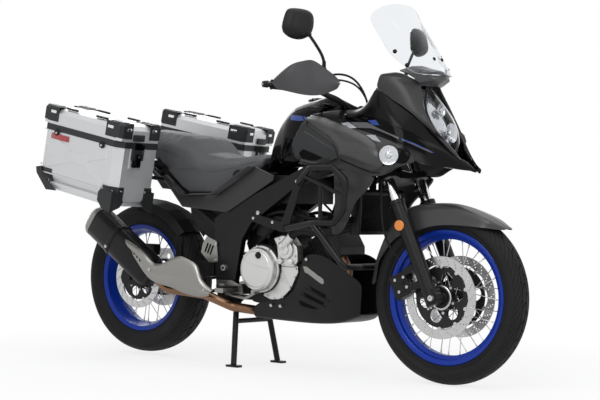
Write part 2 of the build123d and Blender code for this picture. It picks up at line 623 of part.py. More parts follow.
def chain_guard():
    """Guard over the chain's upper run, on a lug from the left arm."""
    guard = side_plate([(-330, 468), (-420, 486), (-700, 478), (-722, 470), (-700, 468), (-420, 476), (-330, 462)],
                       SPROCKET_Y - 12, SPROCKET_Y + 24)
    return guard + block((-420, -396), (SPROCKET_Y + 16, SPROCKET_Y + 24), (380, 480))


def rear_hugger():
    """Short guard over the rear tyre, on a bracket from the right arm."""
    layers = ([], [])
    for turn in (38, 50, 62, 74, 86, 98):
        c, s = cos(radians(turn)), sin(radians(turn))
        lift = 12 + max(0, turn - 74) * 0.4
        for layer, wall in zip(layers, (4, 0)):
            layer.append([(REAR_AXLE_X + (REAR_TYRE_R + lift + wall - drop) * c, y,
                           REAR_AXLE_Z + (REAR_TYRE_R + lift + wall - drop) * s)
                          for y, drop in ((-82 - wall / 2, 40), (-72, 8), (0, 0), (72, 8), (82 + wall / 2, 40))])
    guard = skin(*layers)
    slope = (PIVOT[1] - 8 - REAR_AXLE_Z) / (PIVOT[0] - 230 - REAR_AXLE_X)
    foot = [(x, PIVOT[1] + 22 + GAP - (PIVOT[0] - 190 - x) * slope) for x in (-520, -490)]
    guard += side_plate(foot + [(-490, 518), (-524, 522)], -92, -82.5)
    guard += side_plate(foot + [(-490, 414), (-520, 410)], -112, -82.5)
    node("rear_hugger", guard)


# ---------------------------------------------------------------- engine
def engine():
    case_outline = [(-88, 470), (-92, 360), (-70, 270), (40, 254), (190, 254), (262, 310), (262, 400), (190, 452),
                    (60, 500)]
    case = side_plate(case_outline, -ENGINE_HALF, ENGINE_HALF, corner=14)
    case -= block((-160, -66), (SPROCKET_Y - 12, ENGINE_HALF + 1), (340, 480))
    cx, cz = CRANK
    for lean, reach in ((58, 268), (-26, 262)):
        a = radians(lean)
        out = (sin(a), cos(a))
        along = (cos(a), -sin(a))

        def point(d, w):
            return (cx + out[0] * d + along[0] * w, cz + out[1] * d + along[1] * w)
        barrel = side_plate([point(60, -52), point(60, 52), point(196, 52), point(196, -52)],
                            -CYLINDER_HALF, CYLINDER_HALF, corner=6)
        for k in range(5):
            d = 128 + 14 * k
            barrel += side_plate([point(d, -62), point(d, 62), point(d + 5, 62), point(d + 5, -62)],
                                 -CYLINDER_HALF - 10, CYLINDER_HALF + 10)
        head = side_plate([point(196, -66), point(196, 66), point(reach - 16, 66), point(reach, 40),
                           point(reach, -40), point(reach - 16, -66)],
                          -CYLINDER_HALF - 18, CYLINDER_HALF + 18, corner=6)
        case += barrel + head
    case += cross_rod(-20, 628, 12, -SPAR_OUT + SPAR_T + GAP, SPAR_OUT - SPAR_T - GAP)
    case += side_plate([(-86, 300), (-160, 292), (-160, 328), (-86, 345)],
                       -SPAR_OUT + SPAR_T + GAP, SPAR_OUT - SPAR_T - GAP)
    node("engine", case)
    add_engine_covers()
    return case


def add_engine_covers():
    """Clutch, water pump and lower covers on the right, generator cover on the left."""

    cover = cross_rod(CLUTCH[0], CLUTCH[1], 98, -ENGINE_HALF - 40, -ENGINE_HALF - GAP)
    cover += cross_rod(CLUTCH[0], CLUTCH[1], 84, -ENGINE_HALF - 78, -ENGINE_HALF - 40)
    pump = side_plate([(70, 528), (150, 536), (186, 500), (182, 424), (120, 420), (92, 440)],
                      -ENGINE_HALF - 52, -ENGINE_HALF - GAP, corner=10)
    lower = side_plate([(60, 420), (182, 423.7), (176, 330), (110, 292), (40, 300)],
                       -ENGINE_HALF - 44, -ENGINE_HALF - GAP, corner=8)
    pump &= side_plate([(0, 600), (300, 600), (300, 300), (0, 300)], -ENGINE_HALF - 52, -ENGINE_HALF - GAP)
    generator = cross_rod(96, 392, 92, ENGINE_HALF + GAP, ENGINE_HALF + 48)
    generator += cross_rod(96, 392, 60, ENGINE_HALF + 48, ENGINE_HALF + 64)
    node("engine_covers", cover + lower + pump, generator)


CLUTCH = (3.0, 404.0)


def radiator(frame, cowl):
    """Finned core, hung from the frame, with side ears to the cowl legs."""
    core = side_plate([(440, 556), (447, 730), (475, 730), (468, 556)], -150, 150)
    for k in range(8):
        z = 568 + 20 * k
        x = 468 + (z - 556) * 8 / 204
        core += block((x - 3, x + 3), (-142, 142), (z, z + 5))
    for side in (-1, 1):
        core += block((446, 466), sorted((side * 20, side * 40)), (722, 880))
        core += block((440, 452), sorted((side * 148, side * 192)), (600, 624))
    core = core - frame - cowl - mirrored(cowl)
    node("radiator", largest(core))


def belly_pan():
    """Skid pan round the front and underside of the engine."""
    side = [[(198, -150, 440), (194, -152, 286), (-50, -152, 276), (-50, -120, 205)],
            [(240, -154, 478), (240, -158, 340), (94, -154, 270), (94, -118, 200)],
            [(330, -152, 470), (340, -154, 350), (300, -150, 258), (300, -112, 196)],
            [(412, -140, 410), (414, -140, 345), (402, -134, 280), (392, -100, 214)],
            [(456, -90, 372), (456, -86, 340), (448, -80, 296), (434, -64, 240)]]
    wall = slab(side, (0, 6, 0))
    floor = [row[-1] for row in side]
    under = slab([floor, [(x, -y, z) for x, y, z in floor]], (0, 0, 5))
    nose = slab([side[-1], [(x, -y, z) for x, y, z in side[-1]]], (-5, 0, 0))
    pan = wall + mirrored(wall) + under + nose
    for side_y in (-1, 1):
        pan += rod((40, side_y * 148, 262), (40, side_y * (ENGINE_HALF + GAP), 262), 9)
    node("belly_pan", pan)


def crash_bars():
    """Tube loops beside the engine, joined by a bar across the front, on flat straps from the frame."""
    strap_in = SPAR_OUT + GAP
    #       x     y     z
    loop = [(190, -strap_in - 4, 760), (250, -232, 752), (330, -266, 806), (441, -268, 808), (502, -268, 762),
            (495, -270, 646), (450, -270, 598), (355, -268, 596), (206, -240, 573), (122, -strap_in - 4, 574)]
    lower = [(352, -268, 590), (500, -262, 434), (464, -110, 430)]
    tube_r, brace_r = 12.5, 8
    right = bent_tube(loop, tube_r, 22) + bent_tube(lower + [(464, 1, 430)], tube_r, 24)
    right += rod((290, -254, 778), (498, -269, 700), brace_r)
    right += rod((384, -266, 742), (384, -268, 600), brace_r)
    strap = [(166, 752), (206, 784), (146, 590), (136, 556), (98, 556), (-18, 585), (-66, 600), (-50, 626), (104, 594)]
    right += side_plate(strap, -strap_in - 6, -strap_in)
    right -= block((-500, 600), (-strap_in, 0), (500, 1000))
    node("crash_bars", right + mirrored(right))


# ---------------------------------------------------------------- exhaust
MUFFLER_START = (-525.0, -226.0, 362.0)
MUFFLER_END = (-825.0, -240.0, 569.0)
MUFFLER_SIZE = (104.0, 136.0)
PIPE_R = 19.0


def exhaust(engine_block):
    start, end = Vector(*MUFFLER_START), Vector(*MUFFLER_END)
    direction = (end - start).normalized()
    length = (end - start).length

    def can(first, last, grow):
        plane = Plane(origin=start + direction * first, x_dir=(0, 1, 0), z_dir=direction)
        wide, tall = MUFFLER_SIZE
        return extrude(plane * RectangleRounded(wide + grow, tall + grow, 40), last - first)
    node("muffler", can(GAP, length - GAP, 0))
    cap = can(length, length + 34, -10) - rod((end + direction * 12).to_tuple(), (end + direction * 40).to_tuple(), 26)
    route = [(300, -34, 500), (352, -34, 400), (322, -40, 282), (180, -52, 228), (30, -60, 230), (-62, -84, 231),
             (-128, -168, 246), (-250, -206, 292), (-440, -222, 303), MUFFLER_START]
    pipe = bent_tube(route, PIPE_R, 48)
    pipe = largest(pipe - can(0, length, 0) - engine_block)
    node("exhaust_pipe", pipe)
    #        top of each station, rear to front, then middle, then bottom
    grid = [[(-624, -290, 498), (-515, -290, 444), (-446, -282, 401), (-362, -264, 434), (-311, -256, 428),
             (-260, -250, 402), (-231, -248, 347), (-178, -240, 309)],
            [(-592, -290, 463), (-500, -290, 396), (-424, -284, 362), (-362, -270, 372), (-316, -262, 362),
             (-268, -256, 344), (-233, -252, 316), (-186, -242, 302)],
            [(-561, -290, 429), (-483, -290, 350), (-399, -282, 325), (-361, -266, 313), (-320, -258, 299),
             (-276, -252, 291), (-236, -248, 287), (-196, -240, 294)]]
    shield = slab(grid, (0, 4, 0))
    shield += rod((-262, -254, 312), (-262, -207, 293), 8)
    shield -= bent_tube(route, PIPE_R + GAP, 48)
    shield -= can(-5, length, 2 * GAP)
    node("exhaust_shields", largest(shield), cap)


# ---------------------------------------------------------------- bodywork
def ring_x(x, half):
    """Closed ring in the plane at x from the right half's (y, z) points, top middle first."""
    return mirrored_ring([(x, y, z) for y, z in half])


def fuel_tank(frame):
    #          x    top   shoulder      widest       bottom
    rows = [(-52, 872, (-40, 868), (-68, 850), (-60, 822)),
            (0, 950, (-55, 938), (-92, 890), (-80, 818)),
            (60, 1035, (-80, 1010), (-118, 930), (-108, 818)),
            (110, 1068, (-98, 1042), (-140, 950), (-122, 822)),
            (190, 1086, (-112, 1060), (-156, 970), (-138, 836)),
            (260, 1078, (-112, 1050), (-158, 975), (-138, 862)),
            (312, 1040, (-98, 1020), (-150, 960), (-120, 900))]
    rings = [ring_x(x, [(0, top), shoulder, widest, bottom, (0, bottom[1])]) for x, top, shoulder, widest, bottom in rows]
    tank = tube_skin(rings)
    tank += block((150, 186), (-126, 126), (770, 850)) - frame - block((140, 200), (-110, 110), (700, 834))
    for side in (-1, 1):
        bend_out = STEER.inverse() * Pos(*[v * s for v, s in zip(BAR_BEND_OUT, (1, -side, 1))])
        bend_in = STEER.inverse() * Pos(*[v * s for v, s in zip(BAR_BEND_IN, (1, -side, 1))])
        for share in (0.6, 0.73, 0.87, 1):
            swing = Rot(0, 0, side * STEER_LOCK * share)
            tank -= STEER * (swing * rod(tuple(bend_in.position), tuple(bend_out.position), BAR_R + SWING_CLEAR))
    tank = largest(tank)
    tank += rod((150, 0, 1080), (150, 0, 1092), 38)
    node("fuel_tank", tank)


def seat():
    #         x    top   edge         wide        hem  roof
    rows = [(-56, 866, (62, 860), (84, 842), 815, 826),
            (-160, 852, (92, 847), (128, 822), 755, 790),
            (-240, 850, (110, 845), (148, 815), 706, 770),
            (-330, 868, (118, 860), (153, 820), 703, 775),
            (-400, 928, (116, 920), (152, 865), 703, 790),
            (-440, 942, (114, 934), (150, 880), 722, 773),
            (-560, 955, (108, 948), (142, 905), 814, 803.5),
            (-700, 970, (94, 962), (118, 930), 866, 870),
            (-745, 955, (70, 948), (85, 930), 884, 886)]
    rings = []
    for x, top, edge, wide, hem, roof in rows:
        half = [(0, top), (-edge[0], edge[1]), (-wide[0], wide[1]), (-wide[0] + 2, hem), (-wide[0] + 14, hem),
                (-wide[0] + 20, roof), (0, roof)]
        rings.append(ring_x(x, half))
    node("seat", tube_skin(rings))


def side_covers():
    outline = [(60, 778), (-40, 814), (-234, 696), (-404, 692), (-520, 778), (-552, 770), (-431, 644), (-212, 627),
               (-184, 626), (56, 758)]
    cover = side_plate(outline, SPAR_OUT + GAP, SPAR_OUT + 9)
    node("side_covers", cover, mirrored(cover))


def air_box():
    half = SPAR_OUT - SPAR_T - GAP
    node("air_box", block((-58, 150), (-half, half), (668, 780)))


CREASE = [(917, -4, 809), (862, -36, 848), (790, -90, 936), (706, -124, 1014), (614, -138, 1076), (545, -142, 1114)]
BLADE_BACK = [(492, -148, 1044), (390, -158, 1035), (262, -174, 1031)]
BLADE_MIDDLE = [(916, -7, 806), (868, -42, 828), (806, -90, 880), (735, -160, 920), (662, -182, 985),
                (572, -185, 1012), (462, -184, 1005), (360, -183, 1012), (250, -181, 1018)]
BLADE_LOW = [(915, -7, 803), (868, -38, 811), (812, -66, 818), (752, -160, 835), (705, -198, 885), (600, -203, 925),
             (421, -190, 972), (320, -184, 995), (240, -181, 1004)]
COWL_MIDDLE = [(735, -178, 815), (672, -235, 850), (575, -236, 870), (430, -226, 905), (320, -208, 925),
               (215, -192, 950)]
COWL_LOW = [(690, -186, 778), (640, -196, 768), (520, -206, 790), (400, -206, 815), (283, -200, 831),
            (182, -190, 868)]
LEG_PANEL = [[(540, -192, 720), (475, -200, 735), (405, -202, 745)],
             [(488, -190, 670), (450, -197, 672), (408, -200, 675)],
             [(462, -188, 610), (432, -194, 610), (400, -196, 612)],
             [(420, -186, 556), (405, -190, 556), (386, -190, 556)]]
UPPER_MIDDLE = [(845, -44, 868), (782, -92, 950), (716, -112, 1034), (655, -124, 1118), (566, -138, 1166)]
UPPER_TOP = [(828, -48, 888), (774, -92, 962), (724, -92, 1052), (692, -70, 1128), (640, -128, 1178)]


def fairing():
    """Upper cowls round the lamp, gloss blades down to the beak, and the lower cowls with the radiator legs."""
    inward = (0, PANEL_T, 0)
    upper = slab([CREASE[1:], UPPER_MIDDLE, UPPER_TOP], (-5, 8, -5))
    blade = largest(slab([CREASE + BLADE_BACK, BLADE_MIDDLE, BLADE_LOW], inward) - upper)
    lower = slab([BLADE_LOW[3:], COWL_MIDDLE, COWL_LOW], inward)
    lower += slab([COWL_LOW[1:4]] + LEG_PANEL, inward)
    lamp = rod((652, -218, 857), (674, -250, 857), 21)
    lamp = min((lamp - lower).solids(), key=lambda s: s.center().Y)
    node("lower_cowls", lower, mirrored(lower))
    #         x   half  top  bottom
    rows = [(910, 6, 808, 804), (862, 34, 846, 808), (812, 64, 879.7, 815), (742, 80, 879.7, 824)]
    beak = tube_skin([ring_x(x, [(0, top), (-half, top), (-half, low), (0, low)]) for x, half, top, low in rows])
    beak = largest(beak - upper - mirrored(upper))
    brow = slab([[(640, -126, 1178), (668, -50, 1182), (668, 50, 1182), (640, 126, 1178)],
                 [(692, -68, 1128), (716, -25, 1136), (716, 25, 1136), (692, 68, 1128)]], (0, 0, -6))
    brow += slab([[(668, -50, 1188), (668, -20, 1188), (668, 20, 1188), (668, 50, 1188)],
                  [(752, -60, 1172), (770, -20, 1172), (770, 20, 1172), (752, 60, 1172)]], (0, 0, -7))
    brow = largest(brow - windscreen(SCREEN_T + GAP))
    beak = largest(beak - brow)
    node("beak_blades", beak + blade + mirrored(blade))
    node("upper_cowl", upper + mirrored(upper) + brow)
    return upper, blade, lower, lamp


def headlamp():
    #         z   front  edge  half width
    rows = [(880, 822, 808, 14), (910, 826, 800, 46), (960, 812, 770, 72), (1010, 785, 738, 76), (1055, 750, 715, 60),
            (1095, 716, 700, 34), (1118, 698, 690, 10)]
    rings = []
    for z, front, edge, half in rows:
        side = [(front, 0, z), (front - 0.3 * (front - edge), -0.6 * half, z), (edge, -half, z),
                (edge - 60, -0.9 * half, z), (edge - 60, 0, z)]
        rings.append(mirrored_ring(side))
    lamp = tube_skin(rings)
    node("headlamp", lamp)
    return lamp


def windscreen(thickness):
    #        z   middle  edge  half width
    rows = [(1166, 772, 697, 117), (1210, 737, 656, 150), (1252, 702, 616, 170), (1320, 653, 572, 178),
            (1384, 603, 531, 172), (1424, 580, 545, 124), (1444, 566, 556, 60)]
    grid = []
    for z, middle, edge, half in rows:
        grid.append([(middle - (middle - edge) * f * f, half * f, z) for f in (-1, -0.6, -0.2, 0.2, 0.6, 1)])
    return slab(grid, (-thickness, 0, 0))


def fairing_stay(lamp, panels):
    """Bracket from the head tube that carries the lamp, the dash and the cowls."""
    stay = rod((500, 0, 905), (725, 0, 962), 11)
    stay += rod((602, 0, 930), (602, 0, 1112), 10)
    stay += cross_rod(602, 1000, 8, -176, 176)
    stay += rod((602, -172, 985), (602, 172, 985), 8)
    stay -= STEER * rod((0, 0, LOWER_CLAMP), (0, 0, UPPER_CLAMP + CLAMP_T), HEAD_TUBE_R + GAP)
    dash = side_plate([(566, 1074), (640, 1136), (622, 1160), (548, 1098)], -92, 92, corner=5)
    stay = stay - lamp
    for panel in panels:
        stay = stay - panel - mirrored(panel)
    node("dash_stay", largest(stay) + dash)


# ---------------------------------------------------------------- tail
RACK_HOLE_X, RACK_HOLE_Y, RACK_HOLE_R = 110.0, 150.0, 4.3
RACK_X, RACK_Z, RACK_T = -868.0, 958.0, 6.0
TAIL_LOW = 850.0


def tail(front_lamp):
    rows = [(-764, 944, 82, TAIL_LOW), (-850, 944, 96, TAIL_LOW + 6), (-936, 930, 70, TAIL_LOW + 22)]
    cowl = tube_skin([ring_x(x, [(0, top), (-half * 0.8, top), (-half, top - 24), (-half * 0.8, low), (0, low)])
                      for x, top, half, low in rows])
    cowl -= subframe(GAP)
    cowl = largest(cowl)
    plate = [(RACK_X + 90, -96), (RACK_X + 90, 96), (RACK_X + 20, 112), (RACK_X - 92, 96), (RACK_X - 92, -96),
             (RACK_X + 20, -112)]
    rack = plan_plate(plate, RACK_Z - RACK_T, RACK_Z, corner=14)
    for y in (-1, 1):
        rack -= block((RACK_X - 34, RACK_X + 34), sorted((y * 24, y * 60)), (RACK_Z - 9, RACK_Z + 1))
        for x in (-1, 1):
            rack -= rod((RACK_X + x * RACK_HOLE_X / 2, y * RACK_HOLE_Y / 2, RACK_Z - 9),
                        (RACK_X + x * RACK_HOLE_X / 2, y * RACK_HOLE_Y / 2, RACK_Z + 1), RACK_HOLE_R)
        rack += rod((RACK_X + 50, y * 40, 944 + GAP), (RACK_X + 50, y * 40, RACK_Z - RACK_T), 12)
    node("rear_rack", rack)
    node("tail_lamp", block((-958, -936 - GAP), (-52, 52), (882, 914)))
    arm = [(-880, 870), (-925, 870), (-1128, 722), (-1138, 704), (-1134, 690), (-1118, 690), (-1110, 708),
           (-900, 845), (-880, 850)]
    node("tail_cowl", cowl + side_plate(arm, -62, 62))
    lamp = rod((-930, -62 - GAP, 822), (-930, -120, 822), 7)
    lamp += block((-950, -905), (-168, -120), (806, 838))
    node("turn_lamps", front_lamp, mirrored(front_lamp), lamp, mirrored(lamp))


# ---------------------------------------------------------------- side cases
CASE = (Pos(CASE_FRONT_X, -CASE_INNER_Y, CASE_RIM_Z) * Rot(0, 0, -CASE_TOE) * Rot(0, CASE_PITCH, 0))


def case_plan(grow, low, high):
    """Prism of the case's plan outline, chamfered at its upright edges, wider all round by grow."""
    small = CASE_CHAMFER * 0.4
    front, rear, inner, outer = grow, -CASE_LENGTH - grow, grow, -CASE_WIDTH - grow
    outline = [(front - small, inner), (front, inner - small), (front, outer + CASE_CHAMFER),
               (front - CASE_CHAMFER, outer), (rear + CASE_CHAMFER, outer), (rear, outer + CASE_CHAMFER),
               (rear, inner - small), (rear + small, inner)]
    return plan_plate(outline, low, high)


def case_shell(grow, low):
    """Case body outline with its lower rear corner cut off and its lower outer edge turned in."""
    body = case_plan(grow, low, 0)
    cut = 62.0
    rear, bottom = -CASE_LENGTH - grow, -CASE_HEIGHT - grow
    body -= side_plate([(rear - 9, bottom - 9), (rear + cut, bottom - 9), (rear + cut, bottom), (rear, bottom + cut),
                        (rear - 9, bottom + cut)], -400, 100)
    edge = -CASE_WIDTH - grow
    wedge = [(edge - 9, -200), (edge, -200), (edge + 22, bottom), (edge + 22, bottom - 9), (edge - 9, bottom - 9)]
    plane = Plane(origin=(-700, 0, 0), x_dir=(0, 1, 0), z_dir=(1, 0, 0))
    return body - extrude(plane * make_face(Polyline(*wedge, close=True)), 900)


def side_case():
    """Box, lid, black trim and corner guards of the right case in its own axes."""
    length, width, wall = CASE_LENGTH, CASE_WIDTH, CASE_WALL
    hinge_x, hinge_z = -length - LID_HINGE_SET, 2.0
    box = case_shell(0, -CASE_HEIGHT) - case_shell(-wall, -CASE_HEIGHT + wall)
    box -= case_plan(-wall, -20, 1)
    tongue = [(-length, -30), (-length, -6), (hinge_x + 5, hinge_z - 4), (hinge_x - 6, hinge_z - 3),
              (hinge_x - 5, -12)]
    ears = [(-172, -160), (-118, -106), (-64, -52)]
    for low, high in ears:
        box += side_plate(tongue, low, high) + cross_rod(hinge_x, hinge_z, LID_HINGE_R, low, high)
    box += cross_rod(hinge_x, hinge_z, LID_HINGE_PIN_R, ears[0][0], ears[-1][1])

    lid = case_plan(0, GAP, LID_HEIGHT) - case_plan(-wall, 0, LID_HEIGHT - wall)
    lid = chamfer(lid.faces().sort_by(Axis.Z)[-1].edges(), 1.2)
    for low, high in ((-152, -122), (-102, -68)):
        knuckle = side_plate([(-length, 6), (-length, 24), (hinge_x - 2, hinge_z + 4), (hinge_x + 3, hinge_z + 3)],
                             low, high)
        knuckle += cross_rod(hinge_x, hinge_z, LID_HINGE_R, low, high)
        knuckle -= cross_rod(hinge_x, hinge_z, LID_HINGE_PIN_R + GAP, low - 1, high + 1)
        lid += knuckle

    guard_t, reach_x, reach_y = 3.0, 92.0, 62.0
    cap = case_plan(guard_t, 10, LID_HEIGHT + guard_t) - case_plan(0, 0, LID_HEIGHT)
    guards = []
    for x in ((-reach_x, 9), (-length - 9, -length + reach_x)):
        for y in ((-width - 9, -width + reach_y), (-reach_y, 9)):
            guards.append(cap & block(x, y, (0, LID_HEIGHT + 9)))
    latch_y = (-150, -92)
    guards.append(block((GAP, 9), latch_y, (6, 26)))

    band = case_plan(guard_t, -28, -2) - case_plan(0, -40, 0)
    band -= block((-length - 30, -length + 1), (ears[0][0] - 2, ears[-1][1] + 2), (-40, 0))
    trim = [band]
    base = case_shell(guard_t, -CASE_HEIGHT - guard_t) - case_shell(0, -CASE_HEIGHT)
    for x in ((-62, 9), (-length - 9, -length + 96)):
        for y in ((-width - 9, -width + 58), (-48, 9)):
            trim.append(base & block(x, y, (-CASE_HEIGHT - 9, -CASE_HEIGHT + 58)))
    trim.append(block((guard_t, 16), latch_y, (-74, -2)) - case_plan(guard_t, -28, -2))
    return box, lid, guards, trim


def side_cases():
    box, lid, guards, trim = side_case()
    trims = []
    for side, place in (("right", lambda s: CASE * s),
                        ("left", lambda s: Pos(0, 0, LEFT_CASE_RAISE) * mirrored(CASE * s))):
        node(side + "_case", place(box))
        node(side + "_lid", place(lid))
        node(side + "_lid_guards", *[place(g) for g in guards])
        trims += [place(t) for t in trim]
    node("case_trim", *trims)


def case_point(x, y, z):
    return (CASE * Pos(x, y, z)).position.to_tuple()


def case_carriers():
    """Tube loops behind the cases, with struts to the subframe."""
    y = CASE_RACK_R + 4
    front, rear, top, low = -60, -CASE_LENGTH + 66, -46, -190
    middle = (front + rear) / 2
    cut = subframe(GAP)
    carriers = []
    for raise_z, flip in ((0, False), (LEFT_CASE_RAISE, True)):
        loop = bent_tube([(middle, y, top), (front, y, top), (front, y, low), (middle, y, low)], CASE_RACK_R, 26)
        loop += bent_tube([(middle, y, top), (rear, y, top), (rear, y, low), (middle, y, low)], CASE_RACK_R, 26)
        for x in (front - 50, rear + 50):
            for z in (top, low):
                loop += rod((x, GAP, z), (x, y, z), 13)
        carrier = Pos(0, 0, raise_z) * (CASE * loop)
        struts = (((front, y, top - 40), (-600, -101, 799), 8), ((rear, y, top - 30), (-738, -95, 831), 8),
                  ((front, y, low + 40), (-568, -106, 755), 8))
        for start, end, radius in struts:
            a = Vector(*case_point(*start)) + Vector(0, 0, raise_z)
            carrier += rod(a.to_tuple(), end, radius)
        carrier = largest(carrier - cut)
        carriers.append(mirrored(carrier) if flip else carrier)
    node("case_carriers", *carriers)


# ---------------------------------------------------------------- stands, rests and pedals
def stands():
    px, pz = STAND_PIVOT
    plate_in = SPAR_OUT - SPAR_T - GAP
    right = cross_rod(px, pz, 17, -plate_in, -STAND_TOP_Y + 12)
    right += rod((px, -STAND_TOP_Y, pz), (STAND_FOOT_X - 2, -STAND_FOOT_Y + 2, 9), STAND_TUBE_R)
    right += block((STAND_FOOT_X - 30, STAND_FOOT_X + 32), (-STAND_FOOT_Y - 15, -STAND_FOOT_Y + 15), (0, 9))
    t = 0.3
    brace_y = STAND_TOP_Y + (STAND_FOOT_Y - STAND_TOP_Y) * t
    brace_x = px + (STAND_FOOT_X - px) * t
    right += cross_rod(brace_x, pz * (1 - t), 10, -brace_y, 1)
    right -= cross_rod(px, pz, PIVOT_BOLT_R + GAP, -plate_in - 1, -STAND_TOP_Y + 13)
    node("centre_stand", right + mirrored(right))

    pivot = Vector(*SIDE_STAND_PIVOT)
    axis = Vector(0, -0.927, -0.376)
    foot = pivot + Vector(-SIDE_STAND_LENGTH, 0, 0)
    leg = rod(pivot.to_tuple(), foot.to_tuple(), SIDE_STAND_R)
    leg += rod((pivot - axis * 12).to_tuple(), (pivot + axis * 12).to_tuple(), 15)
    leg += rod((foot - Vector(6, 0, 0)).to_tuple(), (foot + Vector(2, 0, 0)).to_tuple(), 21)
    leg -= rod((pivot - axis * 16).to_tuple(), (pivot + axis * 16).to_tuple(), 6 + GAP)
    node("side_stand", leg)
    return pivot, axis


def rests(pivot, axis):
    """Rider's pegs on plates outside the frame, heel guards, pedal, gear lever and the side stand's lug."""
    inner = SPAR_OUT + GAP
    plate = [(-228, 350), (-150, 352), (-88, 330), (-88, 300), (-150, 296), (-228, 300)]
    right = side_plate(plate, -inner - 10, -inner, corner=4)
    right += block((-142, -98), (-266, -inner - 6), (306, 324))
    left_plate = [(-228, 350), (-150, 352), (-88, 330), (-88, 242), (-134, 242), (-134, 296), (-228, 300)]
    left = side_plate(left_plate, inner, inner + 10, corner=4)
    left += block((-142, -98), (inner + 6, 266), (306, 324))
    left += rod((pivot + axis * (12 + GAP)).to_tuple(), (pivot + axis * 24).to_tuple(), 14) & block(
        (-400, 400), (inner, 400), (0, 600))
    left += rod((pivot - axis * 14).to_tuple(), (pivot + axis * 14).to_tuple(), 6)
    guard = side_plate([(-226, 422), (-276, 420), (-321, 459), (-311, 497), (-290, 526), (-236, 507)], -inner - 6,
                       -inner, corner=6)
    node("foot_rests", right, left, guard, mirrored(guard))
    pedal = cross_rod(-208, 326, 11, -inner - 24, -inner - 10 - GAP)
    pedal += bent_tube([(-208, -inner - 17, 326), (-165, -inner - 22, 298), (-110, -182, 291), (-40, -196, 286),
                        (34, -208, 318)], 6, 20)
    pedal += rod((30, -202, 316), (30, -236, 316), 9)
    node("pedals", pedal, mirrored(pedal))


def main():
    wheels()
    fork()
    calipers()
    end, along, tank = handlebar()
    guard = hand_guards(end, along)
    node("hand_guards", guard, mirrored(guard))
    mirror_piece = mirrors(tank)
    node("mirrors", mirror_piece, mirrored(mirror_piece))
    front_fender()
    frame = main_frame()
    rails = subframe() - frame
    for side in (-1, 1):
        rails += block((-780, -764), sorted((side * 58, side * 92)), (832, TAIL_LOW - GAP))
    node("subframe", rails)
    swingarm()
    rear_shock()
    chain()
    rear_hugger()
    engine_block = engine()
    upper, blade, lower, front_lamp = fairing()
    radiator(frame, lower)
    belly_pan()
    crash_bars()
    exhaust(engine_block)
    fuel_tank(frame)
    seat()
    side_covers()
    air_box()
    lamp = headlamp()
    node("windscreen", windscreen(SCREEN_T))
    fairing_stay(lamp, (upper, blade, lower))
    tail(front_lamp)
    side_cases()
    case_carriers()
    pivot, axis = stands()
    rests(pivot, axis)

    os.makedirs("parts", exist_ok=True)
    for name, solids in NODES.items():
        shape = solids[0] if len(solids) == 1 else Compound(children=solids)
        export_step(shape, "parts/" + name + ".step")
        print(name, len(solids), round(sum(s.volume for s in solids)))


main()
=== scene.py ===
import json
from math import atan2, cos, pi, radians, sin

import bmesh
import bpy
from mathutils import Matrix, Vector
from mathutils.bvhtree import BVHTree


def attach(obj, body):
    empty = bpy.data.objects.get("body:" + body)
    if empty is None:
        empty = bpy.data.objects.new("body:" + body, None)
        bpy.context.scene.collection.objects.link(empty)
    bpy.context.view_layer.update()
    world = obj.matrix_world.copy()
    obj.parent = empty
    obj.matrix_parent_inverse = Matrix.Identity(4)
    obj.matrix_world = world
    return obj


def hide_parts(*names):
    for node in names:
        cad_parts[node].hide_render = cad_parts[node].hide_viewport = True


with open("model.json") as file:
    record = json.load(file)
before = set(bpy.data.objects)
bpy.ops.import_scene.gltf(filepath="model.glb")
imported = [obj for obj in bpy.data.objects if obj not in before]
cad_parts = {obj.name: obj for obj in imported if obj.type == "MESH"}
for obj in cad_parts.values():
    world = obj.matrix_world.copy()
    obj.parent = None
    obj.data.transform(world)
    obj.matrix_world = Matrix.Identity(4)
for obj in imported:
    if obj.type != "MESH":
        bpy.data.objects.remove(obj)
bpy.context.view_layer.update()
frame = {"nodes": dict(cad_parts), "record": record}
NODES = frame["nodes"]
RIGHT, LEFT = -1, 1
SIDES = ((RIGHT, "_right"), (LEFT, "_left"))
BODY_OF = {node: body for body, nodes in frame["record"]["behaviour"]["bodies"].items() for node in nodes}
MM = 0.001


# ---------------------------------------------------------------- node helpers and shared effects
def add(tree, kind, inputs=None, **settings):
    """Add a shader node; inputs that are sockets are linked, others are set."""
    node = tree.nodes.new("ShaderNode" + kind)
    for key, value in settings.items():
        setattr(node, key, value)
    for key, value in (inputs or {}).items():
        if isinstance(value, bpy.types.NodeSocket):
            tree.links.new(value, node.inputs[key])
        else:
            node.inputs[key].default_value = value
    return node


def effect(name, inputs, outputs):
    """Empty node group with number inputs and outputs."""
    tree = bpy.data.node_groups.new(name, "ShaderNodeTree")
    for label, value in inputs.items():
        socket = tree.interface.new_socket(name=label, in_out="INPUT", socket_type="NodeSocketFloat")
        socket.default_value = value
    for label in outputs:
        tree.interface.new_socket(name=label, in_out="OUTPUT", socket_type="NodeSocketFloat")
    return tree, tree.nodes.new("NodeGroupInput"), tree.nodes.new("NodeGroupOutput")


def make_grain():
    """Fine moulded or cast grain, and the slow cloudiness of handled surfaces."""
    tree, given, out = effect("grain", {"Scale": 900.0, "Cloud Scale": 7.0}, ("Height", "Cloud"))
    place = add(tree, "TexCoord")
    fine = add(tree, "TexNoise", {"Vector": place.outputs["Object"], "Scale": given.outputs["Scale"], "Detail": 2.0})
    slow = add(tree, "TexNoise", {"Vector": place.outputs["Object"], "Scale": given.outputs["Cloud Scale"],
        "Detail": 4.0, "Roughness": 0.6})
    tree.links.new(fine.outputs["Fac"], out.inputs["Height"])
    tree.links.new(slow.outputs["Fac"], out.inputs["Cloud"])
    return tree


